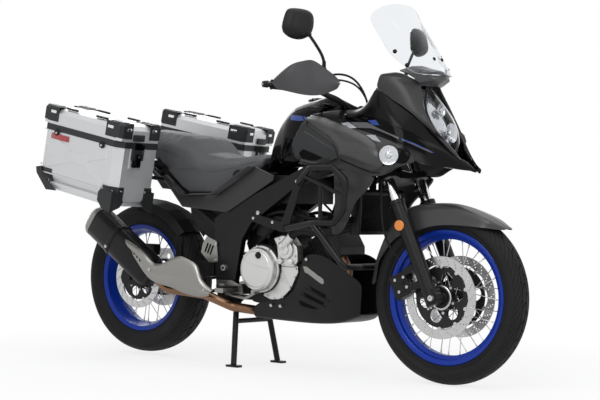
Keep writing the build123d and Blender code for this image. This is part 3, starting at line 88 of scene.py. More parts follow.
def make_brushing():
    """Fine scratches drawn out along the axis with the smallest scale."""
    tree, given, out = effect("brushing", {"X": 20.0, "Y": 900.0, "Z": 900.0}, ("Height",))
    place = add(tree, "TexCoord")
    scale = add(tree, "CombineXYZ", {"X": given.outputs["X"], "Y": given.outputs["Y"], "Z": given.outputs["Z"]})
    drawn = add(tree, "VectorMath", {0: place.outputs["Object"], 1: scale.outputs[0]}, operation="MULTIPLY")
    lines = add(tree, "TexNoise", {"Vector": drawn.outputs[0], "Scale": 1.0, "Detail": 3.0, "Roughness": 0.7})
    tree.links.new(lines.outputs["Fac"], out.inputs["Height"])
    return tree


def make_edge_wear():
    """Mask of the outer edges where a finish rubs thin, broken up by noise."""
    tree, given, out = effect("edge_wear", {"Radius": 0.0015, "Amount": 0.5}, ("Mask",))
    soft = add(tree, "Bevel", {"Radius": given.outputs["Radius"]}, samples=3)
    plain = add(tree, "NewGeometry")
    along = add(tree, "VectorMath", {0: soft.outputs[0], 1: plain.outputs["Normal"]}, operation="DOT_PRODUCT")
    edge = add(tree, "MapRange", {"Value": along.outputs["Value"], "From Min": 0.985, "From Max": 0.86})
    place = add(tree, "TexCoord")
    patch = add(tree, "TexNoise", {"Vector": place.outputs["Object"], "Scale": 60.0, "Detail": 5.0})
    broken = add(tree, "MapRange", {"Value": patch.outputs["Fac"], "From Min": 0.42, "From Max": 0.7})
    both = add(tree, "Math", {0: edge.outputs[0], 1: broken.outputs[0]}, operation="MULTIPLY")
    mask = add(tree, "Math", {0: both.outputs[0], 1: given.outputs["Amount"]}, operation="MULTIPLY", use_clamp=True)
    tree.links.new(mask.outputs[0], out.inputs["Mask"])
    return tree


def make_dust():
    """Mask of the faint dust that lies on faces turned up."""
    tree, given, out = effect("dust", {"Amount": 0.2}, ("Mask",))
    plain = add(tree, "NewGeometry")
    parts = add(tree, "SeparateXYZ", {0: plain.outputs["Normal"]})
    up = add(tree, "MapRange", {"Value": parts.outputs["Z"], "From Min": 0.2, "From Max": 1.0})
    place = add(tree, "TexCoord")
    patch = add(tree, "TexNoise", {"Vector": place.outputs["Object"], "Scale": 14.0, "Detail": 6.0})
    broken = add(tree, "MapRange", {"Value": patch.outputs["Fac"], "From Min": 0.4, "From Max": 0.75})
    both = add(tree, "Math", {0: up.outputs[0], 1: broken.outputs[0]}, operation="MULTIPLY")
    mask = add(tree, "Math", {0: both.outputs[0], 1: given.outputs["Amount"]}, operation="MULTIPLY", use_clamp=True)
    tree.links.new(mask.outputs[0], out.inputs["Mask"])
    return tree


GRAIN, BRUSHING, EDGE_WEAR, DUST = make_grain(), make_brushing(), make_edge_wear(), make_dust()


def placed(tree, group, **values):
    """Use a node group, with its inputs set."""
    node = tree.nodes.new("ShaderNodeGroup")
    node.node_tree = group
    for key, value in values.items():
        node.inputs[key.replace("_", " ")].default_value = value
    return node


def blended(tree, mask, low, high):
    """Colour that goes from low to high with a mask; low and high are colours or sockets."""
    mix = tree.nodes.new("ShaderNodeMix")
    mix.data_type = "RGBA"
    tree.links.new(mask, mix.inputs["Factor"])
    for socket, value in ((mix.inputs[6], low), (mix.inputs[7], high)):
        if isinstance(value, bpy.types.NodeSocket):
            tree.links.new(value, socket)
        else:
            socket.default_value = (*value, 1)
    return mix.outputs[2]


def finish(name, colour, roughness, metallic=0.0, specular=0.35, coat=0.0, grain=(700, 0.08), cloud=0.25, wear=None,
        dust=0.0, brushed=None, rub=0.12):
    """Material with cloudy colour, varied roughness, grain or brushing, worn edges and dust."""
    paint = bpy.data.materials.new(name)
    paint.use_nodes = True
    tree = paint.node_tree
    shader = tree.nodes["Principled BSDF"]
    shader.inputs["Metallic"].default_value = metallic
    shader.inputs["Specular IOR Level"].default_value = specular
    shader.inputs["Coat Weight"].default_value = coat
    shader.inputs["Coat Roughness"].default_value = 0.04
    surface = placed(tree, GRAIN, Scale=float(grain[0]))
    base = blended(tree, surface.outputs["Cloud"], [c * (1 - cloud) for c in colour], [min(1, c * (1 + cloud))
        for c in colour])
    if wear:
        edge = placed(tree, EDGE_WEAR, Amount=wear[1])
        base = blended(tree, edge.outputs["Mask"], base, wear[0])
    if dust:
        haze = placed(tree, DUST, Amount=dust)
        base = blended(tree, haze.outputs["Mask"], base, (0.25, 0.23, 0.2))
    tree.links.new(base, shader.inputs["Base Color"])
    varied = add(tree, "MapRange", {"Value": surface.outputs["Cloud"], "From Min": 0.3, "From Max": 0.7,
        "To Min": max(0.02, roughness - rub), "To Max": roughness + rub})
    tree.links.new(varied.outputs["Result"], shader.inputs["Roughness"])
    height, strength = surface.outputs["Height"], grain[1]
    if brushed:
        lines = placed(tree, BRUSHING, X=float(brushed[0]), Y=float(brushed[1]), Z=float(brushed[2]))
        height = lines.outputs["Height"]
    bump = add(tree, "Bump", {"Height": height, "Strength": strength, "Distance": 0.001})
    tree.links.new(bump.outputs["Normal"], shader.inputs["Normal"])
    return paint


GLOSS_BLACK = finish("gloss_black_paint", (0.0015, 0.0015, 0.002), 0.12, specular=0.06, coat=0.05, grain=(260, 0.012),
    cloud=0.1, rub=0.05, dust=0.01)
SATIN_CHARCOAL = finish("satin_charcoal", (0.032, 0.032, 0.033), 0.36, specular=0.3, grain=(1500, 0.05), cloud=0.12,
    rub=0.05, dust=0.015)
SHROUD_GREY = finish("shroud_satin", (0.042, 0.042, 0.043), 0.33, specular=0.42, grain=(1500, 0.04), cloud=0.1,
    rub=0.05)
BLADE_PAINT = finish("blade_black", (0.003, 0.003, 0.0035), 0.24, specular=0.12, coat=0.04, grain=(1300, 0.02),
    cloud=0.1, rub=0.05)
BLACK_PLASTIC = finish("moulded_black", (0.0075, 0.0075, 0.008), 0.48, specular=0.22, grain=(1100, 0.2), dust=0.02)
GREY_PLASTIC = finish("moulded_grey", (0.058, 0.058, 0.06), 0.5, specular=0.25, grain=(1300, 0.14), dust=0.03)
PALE_GREY = finish("pale_grey_film", (0.36, 0.37, 0.38), 0.35, specular=0.4, grain=(1200, 0.03), cloud=0.06)
BLACK_METAL = finish("black_powder_coat", (0.006, 0.006, 0.0065), 0.36, specular=0.22, grain=(1400, 0.1),
    wear=((0.16, 0.16, 0.16), 0.3), dust=0.02)
ENGINE_BLACK = finish("engine_black", (0.008, 0.008, 0.0085), 0.5, specular=0.3, grain=(520, 0.3),
    wear=((0.12, 0.12, 0.12), 0.35), dust=0.03)
ENGINE_SILVER = finish("cast_silver", (0.6, 0.6, 0.59), 0.36, metallic=1.0, grain=(640, 0.3), cloud=0.15,
    wear=((0.7, 0.7, 0.71), 0.5))
CASE_METAL = finish("case_aluminium", (0.62, 0.63, 0.64), 0.44, metallic=0.72, grain=(30, 0.05), cloud=0.06, rub=0.06,
    brushed=(14, 700, 900))
SHIELD_METAL = finish("brushed_shield", (0.27, 0.265, 0.25), 0.34, metallic=1.0, grain=(30, 0.08), cloud=0.08,
    brushed=(30, 900, 900))
STEEL = finish("bright_steel", (0.52, 0.52, 0.52), 0.3, metallic=1.0, grain=(900, 0.08), cloud=0.12)
CHROME = finish("hard_chrome", (0.72, 0.72, 0.73), 0.1, metallic=1.0, grain=(300, 0.01), cloud=0.04, rub=0.04)
BLUE = finish("blue_anodised", (0.002, 0.03, 0.31), 0.33, metallic=0.1, specular=0.22, coat=0.1, grain=(900, 0.03),
    cloud=0.12, rub=0.06)
BLUE_FILM = finish("blue_film", (0.012, 0.045, 0.24), 0.3, specular=0.45, grain=(1200, 0.03), cloud=0.06)
TYRE = finish("tyre_rubber", (0.0105, 0.0105, 0.011), 0.7, specular=0.2, grain=(700, 0.35), cloud=0.25, dust=0.06)
RUBBER = finish("soft_rubber", (0.007, 0.007, 0.007), 0.66, specular=0.2, grain=(500, 0.3))
HOT_STEEL = finish("heat_tinted_pipe", (0.2, 0.115, 0.07), 0.32, metallic=1.0, grain=(400, 0.05), cloud=0.5)
# near-black painted shade: laid on as sheets and blocks where slots, holes, seam gaps and the radiator core are dark
# inside
OPENING_SHADE = finish("painted_opening_shade", (0.002, 0.002, 0.002), 0.7, specular=0.08, grain=(500, 0.2))
FLASH_GREY = finish("flash_grey_film", (0.1, 0.1, 0.105), 0.35, specular=0.35, grain=(1200, 0.03), cloud=0.06)
GUARD_GREY = finish("guard_grey", (0.018, 0.019, 0.02), 0.42, specular=0.3, grain=(1100, 0.16), dust=0.03)
AMBER = finish("amber_reflector", (0.75, 0.22, 0.01), 0.25, specular=0.5, coat=0.8, grain=(380, 0.5), cloud=0.1)
RED = finish("red_reflector", (0.35, 0.004, 0.008), 0.22, specular=0.5, coat=0.8, grain=(380, 0.5), cloud=0.1)
MIRROR = finish("mirror_face", (0.8, 0.81, 0.82), 0.03, metallic=1.0, grain=(60, 0.0), cloud=0.02, rub=0.01)
REFLECTOR = finish("lamp_reflector", (0.62, 0.63, 0.65), 0.14, metallic=0.8, grain=(90, 0.9), cloud=0.3, rub=0.06)
SEAT_TOP = finish("seat_cover_top", (0.088, 0.09, 0.094), 0.62, specular=0.25, grain=(850, 0.45), cloud=0.1)
SEAT_SIDE = finish("seat_cover_side", (0.088, 0.089, 0.093), 0.55, specular=0.25, grain=(850, 0.3), cloud=0.1)


def clear(name, tint, roughness, ripple=(0, 0.0)):
    """Clear moulded plastic or glass, with faint ripples in its face."""
    paint = finish(name, tint, roughness, specular=0.5, grain=(ripple[0] or 200, ripple[1]), cloud=0.02, rub=0.01)
    shader = paint.node_tree.nodes["Principled BSDF"]
    shader.inputs["Transmission Weight"].default_value = 1.0
    shader.inputs["IOR"].default_value = 1.2
    return paint


SCREEN = clear("clear_screen", (0.86, 0.88, 0.9), 0.03)
LENS = clear("clear_lens", (0.95, 0.96, 0.97), 0.02, (220, 0.02))
RIBBED_LENS = clear("ribbed_lens", (0.93, 0.94, 0.95), 0.05, (420, 0.4))


# ---------------------------------------------------------------- camera, floor and light
def set_camera():
    """Long lens from the right and ahead, a little rolled."""
    azimuth, elevation, roll, distance = radians(38.61), radians(0.04), radians(1.28), 6.779
    back = Vector((sin(azimuth) * cos(elevation), -cos(azimuth) * cos(elevation), sin(elevation)))
    level = (-back).cross(Vector((0, 0, 1))).normalized()
    upright = level.cross(-back)
    right = cos(roll) * level + sin(roll) * upright
    up = -sin(roll) * level + cos(roll) * upright
    target = Vector((0.0281, 0, 0.5)) + 0.034 * level + 0.183 * upright
    data = bpy.data.cameras.new("camera")
    data.lens, data.sensor_width, data.clip_end = 100.2, 36.0, 60.0
    camera = bpy.data.objects.new("camera", data)
    place = target + distance * back
    camera.matrix_world = Matrix(((right.x, up.x, back.x, place.x), (right.y, up.y, back.y, place.y),
        (right.z, up.z, back.z, place.z), (0, 0, 0, 1)))
    bpy.context.scene.collection.objects.link(camera)
    bpy.context.scene.camera = camera


def area_light(name, place, aim, size, power):
    data = bpy.data.lights.new(name, "AREA")
    data.shape, data.size, data.size_y, data.energy = "RECTANGLE", size[0], size[1], power
    lamp = bpy.data.objects.new(name, data)
    lamp.location = place
    lamp.rotation_euler = (Vector(aim) - Vector(place)).to_track_quat("-Z", "Y").to_euler()
    bpy.context.scene.collection.objects.link(lamp)


def set_stage():
    """White studio whose floor fades into its backdrop, with four soft lights."""
    scene = bpy.context.scene
    scene.view_settings.view_transform = "Standard"
    world = bpy.data.worlds.new("studio")
    scene.world = world
    world.use_nodes = True
    tree = world.node_tree
    tree.nodes.clear()
    path = add(tree, "LightPath")
    seen = add(tree, "Math", {0: path.outputs["Is Camera Ray"], 1: path.outputs["Is Transmission Ray"]},
        operation="ADD", use_clamp=True)
    seen = add(tree, "Math", {0: seen.outputs[0], 1: path.outputs["Is Glossy Ray"]}, operation="ADD", use_clamp=True)
    fill = add(tree, "Background", {"Color": (0.93, 0.95, 1.0, 1), "Strength": 0.42})
    white = add(tree, "Background", {"Color": (1, 1, 1, 1), "Strength": 1.0})
    mix = add(tree, "MixShader", {"Fac": seen.outputs[0], 1: fill.outputs[0], 2: white.outputs[0]})
    add(tree, "OutputWorld", {"Surface": mix.outputs[0]})
    bm = bmesh.new()
    bmesh.ops.create_grid(bm, x_segments=1, y_segments=1, size=20)
    mesh = bpy.data.meshes.new("floor")
    bm.to_mesh(mesh)
    floor = bpy.data.objects.new("floor", mesh)
    floor.location.z = -0.0005
    scene.collection.objects.link(floor)
    paint = bpy.data.materials.new("studio_floor")
    paint.use_nodes = True
    tree = paint.node_tree
    shader = tree.nodes["Principled BSDF"]
    shader.inputs["Base Color"].default_value = (0.95, 0.95, 0.95, 1)
    shader.inputs["Roughness"].default_value = 0.9
    shader.inputs["Specular IOR Level"].default_value = 0.0
    place = add(tree, "TexCoord")
    apart = add(tree, "VectorMath", {0: place.outputs["Object"]}, operation="LENGTH")
    fade = add(tree, "MapRange", {"Value": apart.outputs["Value"], "From Min": 0.9, "From Max": 2.3},
        interpolation_type="SMOOTHSTEP")
    glow = add(tree, "Emission", {"Color": (1, 1, 1, 1), "Strength": 1.0})
    path = add(tree, "LightPath")
    seen = add(tree, "Math", {0: path.outputs["Is Camera Ray"], 1: path.outputs["Is Glossy Ray"]}, operation="MAXIMUM")
    seen = add(tree, "Math", {0: seen.outputs[0], 1: path.outputs["Is Transmission Ray"]}, operation="MAXIMUM")
    fade = add(tree, "MapRange", {"Value": fade.outputs["Result"], "To Min": 0.8, "To Max": 1.0})
    share = add(tree, "Math", {0: seen.outputs[0], 1: fade.outputs["Result"]}, operation="MULTIPLY")
    mixed = add(tree, "MixShader", {"Fac": share.outputs[0], 1: shader.outputs[0], 2: glow.outputs[0]})
    tree.links.new(mixed.outputs[0], tree.nodes["Material Output"].inputs["Surface"])
    mesh.materials.append(paint)
    area_light("key", (1.5, -4.2, 4.2), (0, 0, 0.5), (3.2, 3.2), 125)
    area_light("front", (5.0, -0.5, 2.6), (0.5, 0, 0.6), (2.4, 2.8), 55)
    area_light("rear", (-3.6, 2.5, 3.4), (-0.3, 0, 0.6), (2.5, 2.5), 52)
    area_light("overhead", (0, 0, 4.8), (0, 0, 0), (4.5, 3.0), 42)


set_camera()
set_stage()


# ---------------------------------------------------------------- making pieces
# how near the solids' corners are when they are one, in metres
JOIN = 2e-05


def shaded(mesh, sharp):
    """Smooth shading, broken at the edges sharper than an angle in degrees."""
    mesh.polygons.foreach_set("use_smooth", [True] * len(mesh.polygons))
    mesh.set_sharp_from_angle(angle=radians(sharp))


def linked(name, data, body):
    piece = bpy.data.objects.new(name, data)
    bpy.context.scene.collection.objects.link(piece)
    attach(piece, body)
    return piece


def put_raw(name, bm, paint, body="chassis", replaces=(), sharp=180):
    """Make a bmesh a piece that rides on a body, and stands for nodes of the solids."""
    mesh = bpy.data.meshes.new(name)
    bm.to_mesh(mesh)
    bm.free()
    for coat in paint if isinstance(paint, tuple) else (paint,):
        mesh.materials.append(coat)
    shaded(mesh, sharp)
    piece = linked(name, mesh, body)
    if replaces:
        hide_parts(*replaces)
    return piece


def put(name, bm, paint, body="chassis", replaces=(), sharp=38):
    """Make a bmesh a piece, with all its faces looking out."""
    bmesh.ops.recalc_face_normals(bm, faces=bm.faces)
    return put_raw(name, bm, paint, body, replaces, sharp)


def built(name, paint, *forms, body="chassis", replaces=(), sharp=38):
    """Piece made of simple forms; each is a function and what it takes after the bmesh."""
    bm = bmesh.new()
    for form, *values in forms:
        form(bm, *values)
    return put(name, bm, paint, body, replaces, sharp)


def eased(bm, width, segments=2, edges=None):
    """Round edges to a width in millimetres, all of them where none are given."""
    bmesh.ops.bevel(bm, geom=bm.edges[:] if edges is None else edges, offset=width * MM, offset_type="OFFSET",
        affect="EDGES", segments=segments, profile=0.5, material=-1)


def block(bm, place, size, ease=0.0, segments=2, turn=0.0):
    """Box in millimetres with rounded edges, turned about the cross axis by an angle in radians."""
    made = bmesh.ops.create_cube(bm, size=1, matrix=Matrix.Translation(Vector(place) * MM)
        @ Matrix.Rotation(turn, 4, "Y") @ Matrix.Diagonal((*(length * MM for length in size), 1)))["verts"]
    if ease:
        eased(bm, ease, segments, list({e for v in made for e in v.link_edges}))


def moved(geometry, bm, vec):
    """Shift the corners among some geometry, and give them back."""
    verts = [g for g in geometry if isinstance(g, bmesh.types.BMVert)]
    bmesh.ops.translate(bm, verts=verts, vec=vec)
    return verts


def rounded(piece, width, angle):
    """Live bevel on the edges sharper than an angle, in millimetres."""
    bevel = piece.modifiers.new("edges", "BEVEL")
    bevel.width, bevel.segments, bevel.limit_method, bevel.angle_limit = width * MM, 2, "ANGLE", radians(angle)
    even = piece.modifiers.new("even", "WEIGHTED_NORMAL")
    even.keep_sharp = True
    return piece


def dress(node, paint):
    """Give a CAD node its finish, with its loose triangles joined and its edges rounded."""
    piece = NODES[node]
    piece.data.materials.clear()
    piece.data.materials.append(paint)
    piece.data.polygons.foreach_set("use_smooth", [True] * len(piece.data.polygons))
    weld = piece.modifiers.new("joined", "WELD")
    weld.merge_threshold = JOIN
    rounded(piece, 1.2, 32)


def copy_of(node):
    bm = bmesh.new()
    bm.from_mesh(NODES[node].data)
    bmesh.ops.remove_doubles(bm, verts=bm.verts, dist=JOIN)
    return bm


def settle(piece, sharp):
    """Apply a piece's modifiers to its mesh."""
    graph = bpy.context.evaluated_depsgraph_get()
    mesh = bpy.data.meshes.new_from_object(piece.evaluated_get(graph))
    piece.modifiers.clear()
    piece.data = mesh
    shaded(mesh, sharp)


def grown_together(piece, voxel, passes):
    """Skin a form anew with even faces, and smooth it."""
    fill = piece.modifiers.new("fill", "REMESH")
    fill.mode, fill.voxel_size = "VOXEL", voxel * MM
    ease = piece.modifiers.new("ease", "SMOOTH")
    ease.factor, ease.iterations = 0.5, passes


def softened(node, name, paint, voxel, passes):
    """Copy of a node's solid with all its edges eased, as injection moulding leaves them."""
    piece = put_raw(name, copy_of(node), paint, BODY_OF[node], (node,))
    grown_together(piece, voxel, passes)
    settle(piece, 70)


def hose(name, points, radius, paint=RUBBER, body="chassis", sides=4, fine=8):
    """A round hose, cable or wire through points given in millimetres."""
    curve = bpy.data.curves.new(name, "CURVE")
    curve.dimensions, curve.bevel_depth, curve.bevel_resolution = "3D", radius * MM, sides
    curve.resolution_u, curve.use_fill_caps = fine, True
    run = curve.splines.new("NURBS")
    run.points.add(len(points) - 1)
    for spot, place in zip(run.points, points):
        spot.co = (place[0] * MM, place[1] * MM, place[2] * MM, 1)
    run.order_u, run.use_endpoint_u = min(4, len(points)), True
    curve.materials.append(paint)
    linked(name, curve, body)


def turn_to(place, way):
    """Matrix that stands a shape made along Z at a place in millimetres, along a direction."""
    spot = Vector(place) * MM
    return Matrix.Translation(spot) @ Vector(way).to_track_quat("Z", "Y").to_matrix().to_4x4()


def boss(bm, place, way, radius, depth, segments=24, top=None, bevel=0.0):
    """A round boss standing on a place, with its upper edge eased."""
    made = bmesh.ops.create_cone(bm, cap_ends=True, segments=segments, radius1=radius * MM,
        radius2=(radius if top is None else top) * MM, depth=depth * MM, matrix=turn_to(place, way)
        @ Matrix.Translation((0, 0, depth * MM / 2)))
    if bevel:
        rim = {e for v in made["verts"] for e in v.link_edges if len(e.link_faces) == 2 and e.calc_face_angle(0) > 0.8}
        eased(bm, bevel, 2, list(rim))


def bolts(name, heads, body="chassis", paint=STEEL):
    """Socket head bolts: each head is (place, direction, radius) in millimetres."""
    bm = bmesh.new()
    for place, way, radius in heads:
        made = bmesh.ops.create_cone(bm, cap_ends=True, segments=14, radius1=radius * MM, radius2=radius * 0.84 * MM,
            depth=radius * 0.8 * MM, matrix=turn_to(place, way) @ Matrix.Translation((0, 0, radius * 0.3 * MM)))
        way = Vector(way).normalized()
        top = max({f for v in made["verts"] for f in v.link_faces}, key=lambda f: f.calc_center_median().dot(way))
        bmesh.ops.inset_region(bm, faces=[top], thickness=radius * 0.4 * MM)
        sunk = bmesh.ops.extrude_discrete_faces(bm, faces=[top])["faces"][0]
        bmesh.ops.translate(bm, verts=sunk.verts, vec=-way * radius * 0.4 * MM)
    put(name, bm, paint, body, sharp=30)


def spun(name, points, centre, body, paint, steps, replaces=(), sharp=38):
    """Turned about a wheel's axle; points are (radius, y) in millimetres round a closed section."""
    bm = bmesh.new()
    verts = [bm.verts.new(((centre[0] + r) * MM, y * MM, centre[1] * MM)) for r, y in points]
    edges = [bm.edges.new(pair) for pair in zip(verts, verts[1:] + verts[:1])]
    bmesh.ops.spin(bm, geom=verts + edges, cent=(centre[0] * MM, 0, centre[1] * MM), axis=(0, 1, 0), angle=2 * pi,
        steps=steps, use_merge=True)
    put(name, bm, paint, body, replaces, sharp)


def both_faces(outer, inner=()):
    """Closed section of a wheel's part, from its outer and inner faces on one side of the centre line."""
    return outer + [(r, -y) for r, y in reversed(outer[:-1])] + [(r, -y) for r, y in reversed(inner[1:])] + list(inner)


def around(centre, radius, turn, y):
    """Point at an angle in degrees round a wheel's axle, in millimetres."""
    return centre[0] + radius * cos(radians(turn)), y, centre[1] + radius * sin(radians(turn))


# ---------------------------------------------------------------- wheels
FRONT_AXLE, REAR_AXLE = (808.0, 330.0), (-752.0, 333.0)
RAKE, STEERING_X = radians(25.5), 917
# tread in millimetres, and the angle where the flank meets it
CROWN_RISE, BLOCK_HEIGHT, GROOVE_DEPTH, SHOULDER = 44, 5.2, 4.6, 66
SPOKES = 32


def crown_radius(radius, half, y):
    """Height of the tread's face from the axle at a distance y from the centre line."""
    share = min(1.0, abs(y) / half)
    return radius - CROWN_RISE + CROWN_RISE * max(0.0, 1 - share * share) ** 0.4


def tyre_piece(name, node, centre, radius, half, bead, bead_y, pitches):
    side = [(bead + 1, bead_y), (bead + 9, bead_y + 0.5), (bead + 16, bead_y + 1), (bead + 19, bead_y + 5),
        (bead + 23, bead_y + 6), (bead + 26, bead_y + 5.5)]
    low, high = bead + 26, radius - CROWN_RISE
    for k in range(1, 5):
        share = k / 5
        bulge = bead_y + 5.5 + (half - bead_y - 5.5) * sin(share * pi / 2)
        side.append((low + (high - low) * share, bulge))
    crown = []
    for turn in range(90, -1, -6):
        y = half * sin(radians(turn))
        sunk = GROOVE_DEPTH if turn < SHOULDER else 0
        if turn == SHOULDER:
            crown.append((crown_radius(radius, half, y), y))
        crown.append((crown_radius(radius, half, y) - sunk, y))
    outer = side + crown
    inner = [(radius - 12, 0), (radius - 46, half - 10), (bead + 1, bead_y - 9)]
    spun(name, both_faces(outer, inner), centre, BODY_OF[node], TYRE, 120, (node,), sharp=34)
    bm = bmesh.new()
    pitch = 360.0 / pitches
    for flank in (-1, 1):
        stagger = pitch / 2 if flank > 0 else 0
        # from y, to y, start, end, as shares of half the width and of a pitch
        for y_low, y_high, first, last in ((0.035, 0.36, 0.04, 0.94), (0.4, 0.9, 0.02, 0.46), (0.4, 0.9, 0.52, 0.96)):
            made = bmesh.ops.create_grid(bm, x_segments=5, y_segments=3, size=1)["verts"]
            for v in made:
                across = (v.co.x + 1) / 2
                share = y_low + (y_high - y_low) * across
                sweep = 1.9 * share ** 1.5 - 0.25 * share
                turn = (first + (last - first) * (v.co.y + 1) / 2 - sweep) * pitch + stagger
                y = share * half
                v.co = Vector(around(centre, crown_radius(radius, half, y) - BLOCK_HEIGHT, turn, y * flank)) * MM
            faces = list({f for v in made for f in v.link_faces})
            grown = bmesh.ops.extrude_face_region(bm, geom=faces)["geom"]
            for v in (g for g in grown if isinstance(g, bmesh.types.BMVert)):
                out = Vector((v.co.x - centre[0] * MM, 0, v.co.z - centre[1] * MM))
                v.co += out.normalized() * BLOCK_HEIGHT * MM
    one = bm.verts[:] + bm.edges[:] + bm.faces[:]
    bmesh.ops.spin(bm, geom=one, cent=(centre[0] * MM, 0, centre[1] * MM), axis=(0, 1, 0),
        angle=2 * pi * (pitches - 1) / pitches, steps=pitches - 1, use_duplicate=True)
    put(name + "_tread", bm, TYRE, BODY_OF[node], sharp=30)


def rim_piece(name, node, centre, bead, half):
    well = bead - 18
    outer = [(bead + 14.5, half - 1.2), (bead + 14.5, half - 3), (bead + 2, half - 4), (bead, half - 9),
        (bead - 2, half - 18), (well, 15), (well, 0)]
    inner = [(well - 4.5, 0), (well - 4.5, 13), (bead - 7, half - 19), (bead - 5.5, half - 6), (bead + 4, half - 0.8),
        (bead + 12, half + 0.6)]
    spun(name, both_faces(outer, inner), centre, BODY_OF[node], BLUE, 120, (node,), sharp=30)


def wheel_centre(name, node, centre, bead, hub_half, flange_y, carriers):
    """Hub barrel, laced spokes and their nipples, standing for the hub node."""
    body = BODY_OF[node]
    half = [(10.5, hub_half), (17, hub_half), (20, hub_half - 2), (20, hub_half - 10), (30, hub_half - 14),
        (31, flange_y + 8), (36, flange_y + 6), (47, flange_y + 4.5), (49, flange_y + 3), (49, flange_y - 3),
        (47, flange_y - 4.5), (36, flange_y - 6), (29, flange_y - 9), (26, 0)]
    spun(name, both_faces(half), centre, body, ENGINE_BLACK, 64, (node,), sharp=32)
    spokes, nipples = bmesh.new(), bmesh.new()
    rim_r, hub_r = bead - 23, 45.5
    for k in range(SPOKES):
        side, lean = 1 if k % 2 else -1, 1 if k // 2 % 2 else -1
        turn = 360 / SPOKES * k
        foot = Vector(around(centre, hub_r, turn - lean * 50, side * (flange_y + 3.5 * lean)))
        head = Vector(around(centre, rim_r, turn, side * 7))
        way = head - foot
        bmesh.ops.create_cone(spokes, segments=8, radius1=1.7 * MM, radius2=1.7 * MM, depth=way.length * MM,
            matrix=turn_to((foot + head) / 2, way))
        bmesh.ops.create_cone(spokes, cap_ends=True, segments=8, radius1=3.2 * MM, radius2=3.2 * MM, depth=3 * MM,
            matrix=turn_to(foot + Vector((0, side * lean * 2.5, 0)), (0, side * lean, 0)))
        bmesh.ops.create_cone(nipples, cap_ends=True, segments=8, radius1=2.6 * MM, radius2=3.6 * MM, depth=15 * MM,
            matrix=turn_to(head - way.normalized() * 6, way))
    put(name + "_spokes", spokes, STEEL, body)
    put(name + "_nipples", nipples, STEEL, body, sharp=30)
    for k, (y, outer_r, inner_r, windows) in enumerate(carriers):
        plate_with_holes(name + "_carrier_" + str(k), body, ENGINE_BLACK, centre, y, 4.0, outer_r, inner_r,
            [(around(centre, (outer_r + inner_r) * 0.52, 360 / windows * j + 12, 0), (outer_r - inner_r) * 0.3)
            for j in range(windows)], 22)


def loop_of(bm, centre, radius, y, segments, wave=0.0, waves=0):
    made = []
    for k in range(segments):
        turn = 2 * pi * k / segments
        r = radius + wave * cos(waves * turn)
        made.append(bm.verts.new(((centre[0] + r * cos(turn)) * MM, y * MM, (centre[1] + r * sin(turn)) * MM)))
    return [bm.edges.new((a, b)) for a, b in zip(made, made[1:] + made[:1])]


def plate_with_holes(name, body, paint, centre, y, thickness, outer_r, inner_r, holes, sides=10, wave=0.0, waves=0,
        replaces=(), teeth=0):
    """Flat round plate across an axle with holes through it; each hole is (place, radius)."""
    bm = bmesh.new()
    edges = loop_of(bm, centre, outer_r, y - thickness / 2, 4 * teeth if teeth else 144, 3.5 if teeth else 0, teeth)
    edges += loop_of(bm, centre, inner_r, y - thickness / 2, 120, wave, waves)
    for place, radius in holes:
        edges += loop_of(bm, (place[0], place[2]), radius, y - thickness / 2, sides)
    bmesh.ops.triangle_fill(bm, use_beauty=True, use_dissolve=False, edges=edges)
    moved(bmesh.ops.extrude_face_region(bm, geom=bm.faces[:], use_keep_orig=True)["geom"], bm, (0, thickness * MM, 0))
    put(name, bm, paint, body, replaces, sharp=30)


def drilled(centre, inner_r, outer_r, count):
    """Three staggered rows of small holes round a brake disc."""
    return [(around(centre, inner_r + (outer_r - inner_r) * share, 360 / count * k + 3.2 * row, 0), 3.0)
        for k in range(count) for row, share in enumerate((0.22, 0.5, 0.78))]


